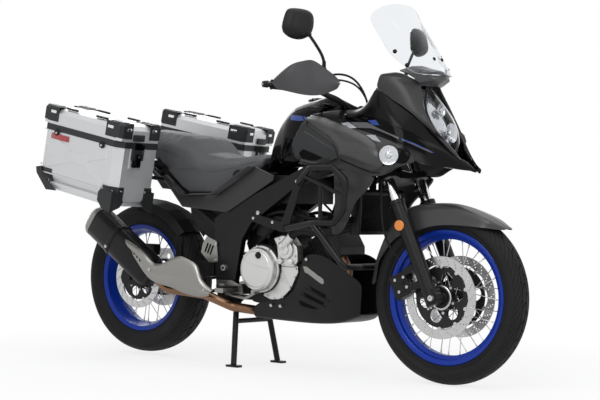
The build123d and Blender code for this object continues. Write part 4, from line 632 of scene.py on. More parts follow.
def make_wheels():
    tyre_piece("front_tyre_carcass", "front_tyre", FRONT_AXLE, 330, 55, 241.3, 33.7, 30)
    tyre_piece("rear_tyre_carcass", "rear_tyre", REAR_AXLE, 321, 75, 215.9, 52.7, 28)
    rim_piece("front_rim_hoop", "front_rim", FRONT_AXLE, 241.3, 38)
    rim_piece("rear_rim_hoop", "rear_rim", REAR_AXLE, 215.9, 57)
    wheel_centre("front_hub_barrel", "front_hub", FRONT_AXLE, 241.3, 64, 30, [(side * 61.5, 114, 24, 6)
        for side in (RIGHT, LEFT)])
    wheel_centre("rear_hub_barrel", "rear_hub", REAR_AXLE, 215.9, 72, 36, [(-70, 94, 24, 6), (78, 80, 24, 5)])
    for side, label in SIDES:
        plate_with_holes("front_disc" + label, "front_wheel", STEEL, FRONT_AXLE, side * 67, 4.6, 155, 121,
            drilled(FRONT_AXLE, 124, 154, 24), 8, 2.4, 10, ("front_discs",) if side == RIGHT else ())
    plate_with_holes("rear_disc", "rear_wheel", STEEL, REAR_AXLE, -75, 4.6, 130, 99, drilled(REAR_AXLE, 102, 129, 20),
        8, 2.4, 8, ("rear_disc_and_sprocket",))
    plate_with_holes("rear_sprocket", "rear_wheel", STEEL, REAR_AXLE, 89, 6.5, 116, 72,
        [(around(REAR_AXLE, 94, 60 * k + 15, 0), 12) for k in range(6)], 16, teeth=46)
    built("front_disc_bobbins", STEEL,
        *((boss, around(FRONT_AXLE, 116, 36 * k + 18, side * 58.5), (0, side, 0), 7.5, 12.5, 14, None, 0.8)
        for side in (RIGHT, LEFT) for k in range(10)), body="front_wheel", sharp=30)
    built("rear_disc_bobbins", STEEL,
        *((boss, around(REAR_AXLE, 95.5, 45 * k + 22.5, -66), (0, -1, 0), 6.5, 13, 14, None, 0.8) for k in range(8)),
        body="rear_wheel", sharp=30)
    for side, label in SIDES:
        spun("hub_ring" + label, [(r, side * y) for r, y in ((40, 64), (46, 64), (47, 67), (44, 69.5), (40, 69.5))],
            FRONT_AXLE, "front_wheel", STEEL, 64)
    bolts("front_carrier_bolts", [(around(FRONT_AXLE, 58, 60 * k + 42, side * 63.5), (0, side, 0), 6.5)
        for k in range(6) for side in (RIGHT, LEFT)], "front_wheel")
    bolts("rear_carrier_bolts", [(around(REAR_AXLE, 52, 60 * k + 42, -72), (0, -1, 0), 6) for k in range(6)],
        "rear_wheel")


make_wheels()


# ---------------------------------------------------------------- moulded panels
def grid_sheet(rows):
    """Sheet of faces through rows of places in millimetres."""
    bm = bmesh.new()
    long, wide = len(rows), len(rows[0])
    made = bmesh.ops.create_grid(bm, x_segments=wide - 1, y_segments=long - 1, size=1)["verts"]
    for v in made:
        j, i = round((v.co.x + 1) / 2 * (wide - 1)), round((v.co.y + 1) / 2 * (long - 1))
        v.co = Vector(rows[i][j]) * MM
    return bm


def ring_body(rings):
    """Closed form through rings of places in millimetres, with a face at each end."""
    bm = bmesh.new()
    loops = []
    for ring in rings:
        verts = [bm.verts.new(Vector(p) * MM) for p in ring]
        loops.append([bm.edges.new(pair) for pair in zip(verts, verts[1:] + verts[:1])])
    for low, high in zip(loops, loops[1:]):
        bmesh.ops.bridge_loops(bm, edges=low + high)
    for loop in (loops[0], loops[-1]):
        bmesh.ops.contextual_create(bm, geom=loop)
    return bm


def both_halves(half):
    """Ring closed over the centre plane from the right half's places, top middle first."""
    return list(half) + [(x, -y, z) for x, y, z in reversed(half) if abs(y) > 0.01]


def mirror_rows(rows):
    return [list(row) + [(x, -y, z) for x, y, z in reversed(row)] for row in rows]


def drawn_out(bm, passes=5):
    """Move a cage's corners out so that its subdivided surface passes through where they were."""
    aims = {v: v.co.copy() for v in bm.verts}
    for _ in range(passes):
        limits = {}
        for v in bm.verts:
            if v.is_boundary:
                ends = [e.other_vert(v).co for e in v.link_edges if e.is_boundary]
                limits[v] = v.co.copy() if len(v.link_faces) == 1 else (4 * v.co + ends[0] + ends[1]) / 6
                continue
            n = len(v.link_edges)
            far = sum((w.co for f in v.link_faces for w in f.verts if w != v and not bm.edges.get((v, w))), Vector())
            near = sum((e.other_vert(v).co for e in v.link_edges), Vector())
            limits[v] = (n * n * v.co + 4 * near + far) / (n * (n + 5))
        for v in bm.verts:
            v.co += (aims[v] - limits[v]) * 0.8
    return bm


def panel(name, bm, paint, thickness=0.0, inward=-1, levels=3, replaces=(), crease=None, sharp=60, draw=True,
        body="chassis"):
    """Subdivided sheet or body, given a wall where it is a sheet; crease is a test of an edge and an amount."""
    if draw:
        drawn_out(bm)
    if crease:
        layer = bm.edges.layers.float.new("crease_edge")
        for e in filter(crease[0], bm.edges):
            e[layer] = crease[1]
    piece = put(name, bm, paint, body, replaces, 180)
    smooth = piece.modifiers.new("smooth", "SUBSURF")
    smooth.levels = smooth.render_levels = levels
    if thickness:
        wall = piece.modifiers.new("wall", "SOLIDIFY")
        wall.thickness, wall.offset = thickness * MM, inward
    settle(piece, sharp)


def mirrored_panel(name, rows, node, paint, thickness, replace=True):
    """The same moulded panel on both sides of the machine; rows are the right side's."""
    for side, label in SIDES:
        bm = grid_sheet([[(x, -y * side, z) for x, y, z in row] for row in rows])
        panel(name + label, bm, paint, thickness, replaces=(node,) if replace and side == RIGHT else (),
            body=BODY_OF[node])


# ---------------------------------------------------------------- bodywork
# from the beak back over the lamp's side
CREASE = [(917, -4, 809), (862, -36, 848), (784, -76, 936), (706, -124, 1014), (614, -138, 1076), (545, -142, 1114)]
BLADE_BACK = [(492, -148, 1044), (390, -158, 1034), (262, -173, 1018)]
BLADE_MIDDLE = [(916, -7, 806), (868, -42, 828), (806, -90, 880), (735, -160, 920), (662, -182, 985),
    (572, -185, 1012), (462, -184, 1005), (360, -183, 1010), (250, -181, 1007)]
BLADE_LOW = [(915, -7, 803), (868, -38, 811), (812, -66, 818), (752, -160, 835), (705, -198, 885), (600, -203, 925),
    (421, -190, 972), (320, -184, 993), (240, -181, 996)]
COWL_MIDDLE = [(716, -182, 830), (662, -232, 850), (575, -236, 870), (430, -226, 905), (320, -208, 925),
    (215, -192, 950)]
COWL_LOW = [(655, -190, 808), (610, -200, 786), (520, -206, 790), (400, -206, 815), (283, -200, 831), (182, -190, 868)]
LEG_PANEL = [[(540, -192, 720), (475, -200, 735), (405, -202, 745)], [(488, -190, 670), (450, -197, 672),
    (408, -200, 675)], [(462, -188, 610), (432, -194, 610), (400, -196, 612)], [(420, -186, 556), (405, -190, 556),
    (386, -190, 556)]]
UPPER_MIDDLE = [(845, -44, 868), (782, -92, 950), (716, -112, 1034), (655, -124, 1118), (566, -138, 1166)]
UPPER_TOP = [(828, -48, 888), (774, -92, 962), (724, -92, 1052), (692, -70, 1128), (640, -128, 1178)]


def between(first, second, share, out=0.0):
    """Row of places part of the way from one row to another, moved outwards by out millimetres."""
    return [(a[0] + (b[0] - a[0]) * share, a[1] + (b[1] - a[1]) * share - out, a[2] + (b[2] - a[2]) * share)
        for a, b in zip(first, second)]


def make_fairing():
    top = CREASE + BLADE_BACK
    rows = [top, between(top, BLADE_MIDDLE, 0.5, 3), BLADE_MIDDLE, between(BLADE_MIDDLE, BLADE_LOW, 0.5, 2), BLADE_LOW]
    mirrored_panel("blade", rows, "beak_blades", BLADE_PAINT, 9)
    rows = [CREASE[1:], between(CREASE[1:], UPPER_MIDDLE, 0.5, 3), UPPER_MIDDLE,
        between(UPPER_MIDDLE, UPPER_TOP, 0.5, 2), UPPER_TOP]
    mirrored_panel("upper_cowl", rows, "upper_cowl", SATIN_CHARCOAL, 7)
    low = BLADE_LOW[3:]
    rows = [low, between(low, COWL_MIDDLE, 0.5, 6), COWL_MIDDLE, between(COWL_MIDDLE, COWL_LOW, 0.5, 5), COWL_LOW]
    mirrored_panel("side_cowl", rows, "lower_cowls", SATIN_CHARCOAL, 9)
    mirrored_panel("radiator_leg", [COWL_LOW[1:4]] + LEG_PANEL, "lower_cowls", SATIN_CHARCOAL, 9, False)
    rows = [(911, 5, 809, 804), (880, 25, 832, 806), (845, 46, 858, 809), (800, 66, 868, 815), (744, 78, 872, 824)]
    bm = ring_body([both_halves([(x, 0, t), (x, -h * 0.7, t - 4), (x, -h, (t + b) / 2), (x, -h * 0.8, b), (x, 0, b)])
        for x, h, t, b in rows])
    panel("beak_tip", bm, GLOSS_BLACK, draw=False)
    rows = []
    for x, y, z in BLADE_LOW[:6]:
        drop = 4 + (917 - x) * 0.03
        rows.append([(x - 4, y * f, z + 5 + drop * (1 - abs(f))) for f in (-0.97, -0.5, 0, 0.5, 0.97)])
    panel("beak_floor", grid_sheet(rows), BLACK_PLASTIC, 3, 1)
    # pale bead along the upper cowl's crease: its flash grey is a painted highlight, the reflection on the rounded
    # crease
    for side, label in SIDES:
        hose("crease_highlight_bead" + label, [(x + 2, (2.5 - y) * side, z) for x, y, z in CREASE[1:]], 2.8, FLASH_GREY)
    # hood over the dials, front lip last
    rows = [[(640, -126, 1178), (652, -66, 1196), (655, 0, 1202), (652, 66, 1196), (640, 126, 1178)],
        [(668, -112, 1166), (690, -62, 1186), (694, 0, 1190), (690, 62, 1186), (668, 112, 1166)],
        [(690, -98, 1150), (732, -58, 1172), (744, 0, 1178), (732, 58, 1172), (690, 98, 1150)],
        [(700, -84, 1138), (744, -52, 1150), (764, 0, 1158), (744, 52, 1150), (700, 84, 1138)],
        [(692, -68, 1128), (712, -36, 1128), (722, 0, 1130), (712, 36, 1128), (692, 68, 1128)]]
    panel("dial_hood", grid_sheet(rows), SHROUD_GREY, 5, crease=(lambda e: True, 0.75), sharp=30, draw=False)


def make_tank():
    rows = [(-52, 872, (-40, 868), (-68, 850), (-60, 822)), (0, 950, (-55, 938), (-92, 890), (-80, 818)),
        (60, 1035, (-80, 1010), (-118, 930), (-108, 818)), (110, 1068, (-98, 1042), (-140, 950), (-122, 822)),
        (190, 1086, (-106, 1056), (-154, 968), (-138, 836)), (260, 1074, (-90, 1040), (-152, 962), (-138, 862)),
        (312, 1040, (-88, 1014), (-146, 950), (-120, 900))]
    rings = [both_halves([(x, 0, top), (x, *shoulder), (x, *wide), (x, *low), (x, 0, low[1])])
        for x, top, shoulder, wide, low in rows]
    panel("tank_shell", ring_body(rings), GLOSS_BLACK, replaces=("fuel_tank",))
    built("filler_cap", BLACK_METAL, (boss, (150, 0, 1078), (0, 0, 1), 38, 9, 40, 36, 2),
        (boss, (150, 0, 1087), (0, 0, 1), 26, 5, 32, 24, 1.5), (boss, (150, 0, 1092), (0, 0, 1), 9, 1.5, 20, 8, 0.5))
    bolts("filler_bolts", [((150 + 31 * cos(k), 31 * sin(k), 1087), (0, 0, 1), 3) for k in range(6)])


def make_front_fender():
    # ridge x  ridge z  shoulder y  edge x  edge y  edge z
    rows = [(1062, 597, 18, 1052, 26, 588), (1020, 618, 42, 1004, 54, 594), (974, 640, 52, 964, 68, 598),
        (863, 676, 54, 862, 71, 603), (759, 683, 56, 757, 72, 595), (659, 674, 54, 676, 70, 572),
        (590, 640, 52, 614, 67, 556), (532, 560, 52, 566, 66, 520), (495, 470, 50, 516, 65, 456),
        (482, 425, 48, 508, 64, 418), (470, 372, 46, 492, 62, 362)]
    grid = []
    for rx, rz, shoulder, ex, edge, ez in rows:
        sx, sz = rx + 0.16 * (ex - rx), rz + 0.16 * (ez - rz)
        mx, mz, middle = (sx + ex) / 2, (sz + ez) / 2, (shoulder + edge) / 2 + 1.5
        grid.append([(ex, -edge, ez), (mx, -middle, mz), (sx, -shoulder, sz), (rx, -shoulder * 0.45, rz - 1.5),
            (rx, 0, rz + 1), (rx, shoulder * 0.45, rz - 1.5), (sx, shoulder, sz), (mx, middle, mz), (ex, edge, ez)])
    panel("fender_shell", grid_sheet(grid), SHROUD_GREY, 3.5, replaces=("front_fender",), body="steering")
    bolts("fender_bolts", [((666, side * 71, 604), (0, side, 0), 6) for side in (RIGHT, LEFT)], "steering")


def make_hand_guards():
    rows = [[(296, -446, 1136), (360, -430, 1186), (386, -395, 1203), (396, -350, 1208), (422, -310, 1182),
        (448, -262, 1146)], [(290, -448, 1118), (352, -446, 1140), (392, -404, 1142), (410, -352, 1140),
        (434, -310, 1134), (462, -262, 1128)], [(306, -442, 1099), (351, -430, 1089), (388, -397, 1078),
        (408, -350, 1077), (428, -310, 1086), (452, -262, 1108)]]
    rows = [rows[0], between(rows[0], rows[1], 0.5, 4), rows[1], between(rows[1], rows[2], 0.5, 4), rows[2]]
    mirrored_panel("hand_guard", rows, "hand_guards", GREY_PLASTIC, 4)
    for side, label in SIDES:
        built("bar_end" + label, BLACK_METAL,
            (boss, (251, side * 434, 1118), (-0.43, side * 0.9, -0.05), 14, 22, 24, 12, 2), body="steering")
        hose("guard_arm" + label, [(246, side * 444, 1118), (272, side * 448, 1117), (304, side * 445, 1118),
            (330, side * 444, 1120)], 6, BLACK_METAL, body="steering")
        bolts("guard_bolts" + label, [((243, side * 452, 1117), (-0.43, side * 0.9, -0.05), 5),
            ((462, side * 268, 1127), (0.6, side * -0.5, 0.2), 4)], "steering")


def make_mirrors():
    outline = [(-38, 58), (4, 60), (44, 58), (66, 44), (69, 14), (66, -14), (54, -40), (30, -54), (9, -58),
        (-18, -56), (-42, -49), (-63, -36), (-70, -16), (-64, 8), (-56, 32), (-50, 46)]
    for side, label in SIDES:
        rings = []
        for depth, scale in ((-14, 0.94), (-13, 1.0), (-6, 1.01), (8, 0.97), (22, 0.82), (30, 0.5)):
            rings.append([(366 + depth + 0.18 * a * scale, side * (402 - a * scale), 1342 + b * scale)
                for a, b in outline])
        panel("mirror_shell" + label, ring_body(rings), BLACK_PLASTIC, levels=2, replaces=("mirrors",)
            if side == RIGHT else (), draw=False, body="steering")
        bm = ring_body([[(366 + depth + 0.18 * a * 0.9, side * (402 - a * 0.9), 1342 + b * 0.9) for a, b in outline]
            for depth in (-20, -17)])
        put("mirror_glass" + label, bm, MIRROR, "steering")
        hose("mirror_stem" + label, [(390, side * 271, 1166), (390, side * 271, 1200), (390, side * 271, 1222),
            (384, side * 310, 1268), (376, side * 350, 1308), (373, side * 362, 1318)], 6, BLACK_METAL,
            body="steering")
        built("mirror_boots" + label, RUBBER, (boss, (390, side * 271, 1167), (0, 0, 1), 10, 20, 6, 10, 1),
            (boss, (390, side * 271, 1187), (0, 0, 1), 8, 26, 24, 7, 1),
            (boss, (377, side * 346, 1304), (-0.1, side * 0.72, 0.7), 10, 24, 24, 8, 2), body="steering")


def make_belly_pan():
    side = [[(198, -150, 440), (194, -152, 286), (-50, -152, 276), (-50, -120, 205)],
        [(240, -154, 478), (240, -158, 340), (94, -154, 270), (94, -118, 200)], [(330, -152, 470), (340, -154, 350),
        (300, -150, 258), (300, -112, 196)], [(412, -140, 410), (414, -140, 345), (402, -134, 280), (392, -100, 214)],
        [(456, -90, 372), (456, -86, 340), (448, -80, 296), (434, -64, 240)]]

    def keel(edge):
        low, high = edge.verts
        return max(abs(low.co.z), abs(high.co.z)) < 0.245 and abs(low.co.y - high.co.y) < 0.06
    panel("pan_shell", grid_sheet(mirror_rows(side)), BLACK_PLASTIC, 5, replaces=("belly_pan",), crease=(keel, 0.6),
        draw=False)


def make_screen():
    rows = [(1166, 772, 697, 117), (1210, 737, 656, 150), (1252, 702, 616, 170), (1320, 653, 572, 178),
        (1384, 603, 531, 172), (1424, 580, 545, 124), (1444, 566, 556, 60)]
    grid = [[(middle - (middle - edge) * f * f, half * f, z) for f in (-1, -0.6, -0.2, 0.2, 0.6, 1)]
        for z, middle, edge, half in rows]
    panel("screen_sheet", grid_sheet(grid), SCREEN, 4, replaces=("windscreen",))


def make_lamp():
    rows = [(880, 822, 808, 14), (910, 826, 800, 46), (960, 812, 770, 72), (1010, 785, 738, 76), (1055, 750, 715, 60),
        (1095, 716, 700, 34), (1118, 698, 690, 10)]
    grid = []
    for z, front, edge, half in rows:
        grid.append([(front - (front - edge) * f * f, half * f, z) for f in (-1, -0.66, -0.33, 0, 0.33, 0.66, 1)])
    panel("lamp_lens", grid_sheet(grid), LENS, 2.5, replaces=("headlamp",))
    back = [[(x - 26 - 18 * (1 - (y / (abs(row[0][1]) + 1)) ** 2), y * 0.97, z) for x, y, z in row] for row in grid]
    panel("lamp_reflector", grid_sheet(back), REFLECTOR, 2, levels=1, sharp=1, draw=False)
    bm, bulbs = bmesh.new(), bmesh.new()
    for z, x, r in ((948, 801, 37), (1034, 752, 25)):
        for inner, outer, depth in ((0.3, 0.72, 0), (0.72, 1.0, 11)):
            bmesh.ops.create_cone(bm, cap_ends=False, segments=40, radius1=r * inner * MM, radius2=r * outer * MM,
                depth=(11 if depth else 16) * MM, matrix=turn_to((x - 20 + depth, 0, z), (1, 0, 0.12)))
        boss(bulbs, (x - 26, 0, z), (1, 0, 0.12), r * 0.3, 20, 24, r * 0.24, 2)
        boss(bulbs, (x - 4, 0, z), (1, 0, 0.12), r * 0.4, 3, 24, r * 0.36, 1)
    bmesh.ops.solidify(bm, geom=bm.faces[:], thickness=0.8 * MM)
    put("lamp_bowls", bm, REFLECTOR)
    put("lamp_bulbs", bulbs, STEEL)
    rim = grid[0][::-1] + [row[0] for row in grid[1:-1]] + grid[-1] + [row[-1] for row in grid[-2:0:-1]]
    hose("lamp_trim", [(x - 1, y * 1.05, z + (2 if z > 1050 else 0)) for x, y, z in rim + rim[:1]], 4.5, BLACK_PLASTIC)


# ---------------------------------------------------------------- films and raised panels on the mouldings
def laid_on(bm, targets, side, lift):
    """Drop a flat sheet sideways on to the mouldings below it."""
    graph = bpy.context.evaluated_depsgraph_get()
    trees = [BVHTree.FromObject(target, graph) for target in targets]
    heights = {}
    for v in bm.verts:
        start = Vector((v.co.x, side * 0.6, v.co.z))
        hits = [tree.ray_cast(start, Vector((0, -side, 0)))[0] for tree in trees]
        hits = [hit.y * side for hit in hits if hit is not None]
        heights[v] = max(hits) if hits else None
    for v, height in heights.items():
        if height is None:
            near = [heights[e.other_vert(v)] for e in v.link_edges if heights[e.other_vert(v)] is not None]
            height = sum(near) / len(near) if near else 0.2
        v.co.y += side * (height + lift * MM)


def film(name, upper, lower, targets, paint, lift=0.8, thickness=0.0, cuts=4, crown=0.0, edge=0.8):
    """Strip between an upper and a lower edge, given as (x, z), that follows the mouldings on both sides."""
    for side, label in SIDES:
        rows = []
        for k in range(cuts + 1):
            t = k / cuts
            rows.append([(a[0] + (b[0] - a[0]) * t, side * crown * 4 * t * (1 - t), a[1] + (b[1] - a[1]) * t)
                for a, b in zip(upper, lower)])
        bm = grid_sheet(rows)
        bmesh.ops.subdivide_edges(bm, edges=bm.edges, cuts=2, use_grid_fill=True)
        laid_on(bm, [bpy.data.objects[t + label] if t + label in bpy.data.objects else bpy.data.objects[t]
            for t in targets], side, lift)
        if thickness:
            moved(bmesh.ops.extrude_face_region(bm, geom=bm.faces[:])["geom"], bm, (0, side * thickness * MM, 0))
        piece = put(name + label, bm, paint, sharp=50)
        if thickness:
            settle(rounded(piece, edge, 50), 50)


def dome(bm, place, way, radius, segments, scale):
    """Flattened ball standing on a place, along a direction."""
    bmesh.ops.create_uvsphere(bm, u_segments=segments, v_segments=segments // 2, radius=radius * MM,
        matrix=turn_to(place, way) @ Matrix.Diagonal((*scale, 1)))


def make_fairing_trim():
    base = ("blade", "side_cowl", "tank_shell")
    film("shroud_panel", [(212, 1008), (261, 1014), (338, 1002), (430, 975), (487, 956), (557, 930), (611, 899),
        (634, 872), (648, 842), (658, 828)], [(252, 997), (284, 976), (318, 958), (397, 923), (436, 884), (446, 846),
        (541, 812), (590, 798), (622, 798), (648, 814)], base, SHROUD_GREY, 0.5, 3.0, crown=13, cuts=6, edge=1.8)
    film("ear_panel", [(256, 990), (262, 972), (316, 945), (375, 917), (416, 897), (432, 866), (434, 847)],
        [(150, 880), (160, 850), (190, 832), (236, 822), (300, 818), (360, 822), (430, 841)], base, GUARD_GREY, 0.5,
        2.5, crown=6, cuts=6, edge=1.6)
    # raised ridge along the ear panel's crease: the ridge is real, its lighter shroud grey is a painted highlight of
    # the crease
    film("ear_ridge_highlight", [(254, 953), (314, 927), (372, 902), (426, 878)], [(254, 948), (314, 922), (372, 897),
        (426, 875)], ("ear_panel",), SHROUD_GREY, 0.2, 1.6, edge=0.8)
    # the air slot is a flat sheet of painted shade laid on the ear panel, for the dark inside the slot
    film("air_slot", [(235, 866), (258, 880), (313, 864), (364, 846)], [(237, 854), (250, 845), (288, 837),
        (320, 835)], ("ear_panel",), OPENING_SHADE, 1.2)
    film("slot_lip", [(226, 850), (250, 841), (300, 832), (350, 834), (425, 846)], [(226, 845), (250, 836),
        (300, 827), (350, 829), (425, 842)], ("ear_panel",), SHROUD_GREY, 0.2, 2.4, edge=1.0)
    film("gloss_band", [(423, 1016), (486, 1019), (510, 1011), (588, 1002), (654, 975), (724, 946), (768, 912)],
        [(415, 981), (470, 957), (560, 955), (618, 934), (686, 907), (734, 886), (770, 862)],
        ("blade", "side_cowl", "beak_tip"), GLOSS_BLACK, 0.4, 0.8, cuts=3, edge=0.3)
    band = ("gloss_band", "blade", "side_cowl")
    film("pale_block", [(417, 981), (454, 984)], [(468, 959), (499, 961)], band, PALE_GREY)
    film("grey_flash", [(461, 984), (545, 982), (596, 960), (662, 936), (732, 907), (785, 874)],
        [(503, 961), (563, 960), (607, 949), (662, 930), (732, 901), (785, 869)], band, FLASH_GREY)
    film("blue_flash", [(544, 990), (581, 991)], [(571, 972), (603, 971)], band, BLUE_FILM, 1.0)
    film("blue_line", [(700, 921), (740, 904), (790, 872)], [(700, 917), (740, 900), (790, 869)], band, BLUE_FILM, 1.0)
    film("pale_tab", [(554, 934), (591, 934)], [(594, 914), (632, 905)], band, PALE_GREY, 0.9)
    film("tank_flash", [(113, 1019), (151, 1017), (185, 1014)], [(120, 999), (177, 994), (205, 995)], ("tank_shell",),
        BLUE_FILM)
    film("tank_flash_tip", [(190, 1014), (232, 1005)], [(208, 996), (240, 990)], ("tank_shell", "blade"), BLUE_FILM)
    film("tank_cover", [(112, 1046), (150, 1062), (203, 1073), (258, 1066)], [(129, 1034), (192, 1050), (254, 1047),
        (300, 1040)], ("tank_shell", "blade"), BLACK_PLASTIC, 0.3, 1.5)
    # the seam is a thin strip of painted shade, for the dark inside its gap
    film("lower_seam", [(446, 842), (541, 808), (590, 794), (622, 793)], [(446, 838), (541, 804), (590, 790),
        (622, 789)], ("side_cowl",), OPENING_SHADE, 0.3)
    film("emblem_place", [(488, 905), (540, 905)], [(492, 866), (546, 864)], ("shroud_panel",), SHROUD_GREY, 0.2, 0.8,
        edge=0.6)
    film("leg_fold", [(400, 806), (430, 740), (452, 690), (462, 640)], [(412, 806), (440, 740), (460, 690),
        (468, 640)], ("radiator_leg", "side_cowl"), SATIN_CHARCOAL, 0.3, 2.5, edge=1.4)
    for side, label in SIDES:
        way = (0.42, side * 0.9, 0.02)
        built("lamp_bezel" + label, BLACK_PLASTIC, (boss, (672, side * 226, 857), way, 41, 14, 40, 39, 3),
            replaces=("turn_lamps",) if side == RIGHT else ())
        built("lamp_lens" + label, RIBBED_LENS, (dome, (680, side * 240, 857), way, 38, 40, (1, 1, 0.5)))
        built("lamp_bulb" + label, REFLECTOR, (boss, (678, side * 239, 857), way, 35, 1.5, 32, 35),
            (boss, (678, side * 239, 857), way, 14, 11, 20, 9, 2))
        built("lamp_socket" + label, GLOSS_BLACK,
            (dome, (708, side * 204, 856), (0.6, side * 0.8, 0.0), 30, 32, (1.25, 1, 0.55)))
        built("rear_lamp_stalk" + label, RUBBER, (block, (-928, side * 114, 822), (20, 108, 15), 5, 3))
        built("rear_lamp_shell" + label, BLACK_PLASTIC, (block, (-917, side * 146, 822), (26, 46, 34), 6, 3))
        built("rear_lamp_lens" + label, AMBER, (block, (-937, side * 146, 822), (18, 42, 29), 6, 3))


# ---------------------------------------------------------------- seat
# how far the cover may swell on top and at its sides, and the height that parts them, in metres
SWELL_TOP, SWELL_SIDE, SWELL_FROM = 0.0065, 0.001, 0.8
STEPS = 20


def make_seat():
    """Foam swollen under its cover by a cloth simulation, then the top and side finishes and the seam."""
    bm = copy_of("seat")
    for v in bm.verts:
        v.co.y *= 0.965
    piece = put_raw("seat_cover", bm, (SEAT_TOP, SEAT_SIDE), replaces=("seat",))
    grown_together(piece, 6, 6)
    settle(piece, 180)
    start = [v.co.copy() for v in piece.data.vertices]
    cloth = piece.modifiers.new("cloth", "CLOTH")
    cloth.settings.quality = 5
    cloth.settings.mass = 0.3
    cloth.settings.use_pressure = True
    cloth.settings.uniform_pressure_force = 4.0
    cloth.settings.effector_weights.gravity = 0.0
    cloth.settings.tension_stiffness = cloth.settings.compression_stiffness = 25
    cloth.point_cache.frame_start, cloth.point_cache.frame_end = 1, STEPS
    for step in range(1, STEPS + 1):
        bpy.context.scene.frame_set(step)
    settle(piece, 180)
    bpy.context.scene.frame_set(1)
    for v, rest in zip(piece.data.vertices, start):
        move = v.co - rest
        most = SWELL_TOP if rest.z > SWELL_FROM else SWELL_SIDE
        if move.length > most:
            move *= most / move.length
        v.co = rest + move
    finer = piece.modifiers.new("finer", "SUBSURF")
    finer.levels = finer.render_levels = 1
    settle(piece, 180)
    for face in piece.data.polygons:
        on_top = face.center.z > seat_line(face.center.x) and face.normal.z > -0.3
        face.material_index = 0 if on_top else 1
    for side, label in SIDES:
        graph = bpy.context.evaluated_depsgraph_get()
        tree = BVHTree.FromObject(piece, graph)
        points = []
        for k in range(30):
            x = -0.09 - 0.62 * k / 29
            z = seat_line(x)
            hit = tree.ray_cast(Vector((x, side * 0.4, z)), Vector((0, -side, 0)))[0]
            if hit:
                points.append((hit.x / MM, (hit.y + side * 0.0004) / MM, hit.z / MM))
        hose("seat_seam" + label, points, 1.5, SEAT_SIDE, sides=3, fine=4)


def seat_line(x):
    """Height of the seam between the seat's top and its sides, in metres."""
    knots = [(-0.06, 0.845), (-0.16, 0.815), (-0.24, 0.795), (-0.33, 0.79), (-0.4, 0.825), (-0.46, 0.862),
        (-0.56, 0.888), (-0.7, 0.917), (-0.76, 0.93)]
    for (x0, z0), (x1, z1) in zip(knots, knots[1:]):
        if x >= x1:
            return z0 + (z1 - z0) * min(1, max(0, (x0 - x) / (x0 - x1)))
    return knots[-1][1]


# ---------------------------------------------------------------- engine, exhaust and radiator
def slab(bm, outline, y_low, y_high, bevel=0.0):
    """Flat plate in the side plane between two distances from the centre plane."""
    face = bm.faces.new([bm.verts.new((x * MM, y_low * MM, z * MM)) for x, z in outline])
    raised = moved(bmesh.ops.extrude_face_region(bm, geom=[face])["geom"], bm, (0, (y_high - y_low) * MM, 0))
    if bevel:
        eased(bm, bevel, 3, [e for e in bm.edges if e.verts[0] in raised and e.verts[1] in raised])


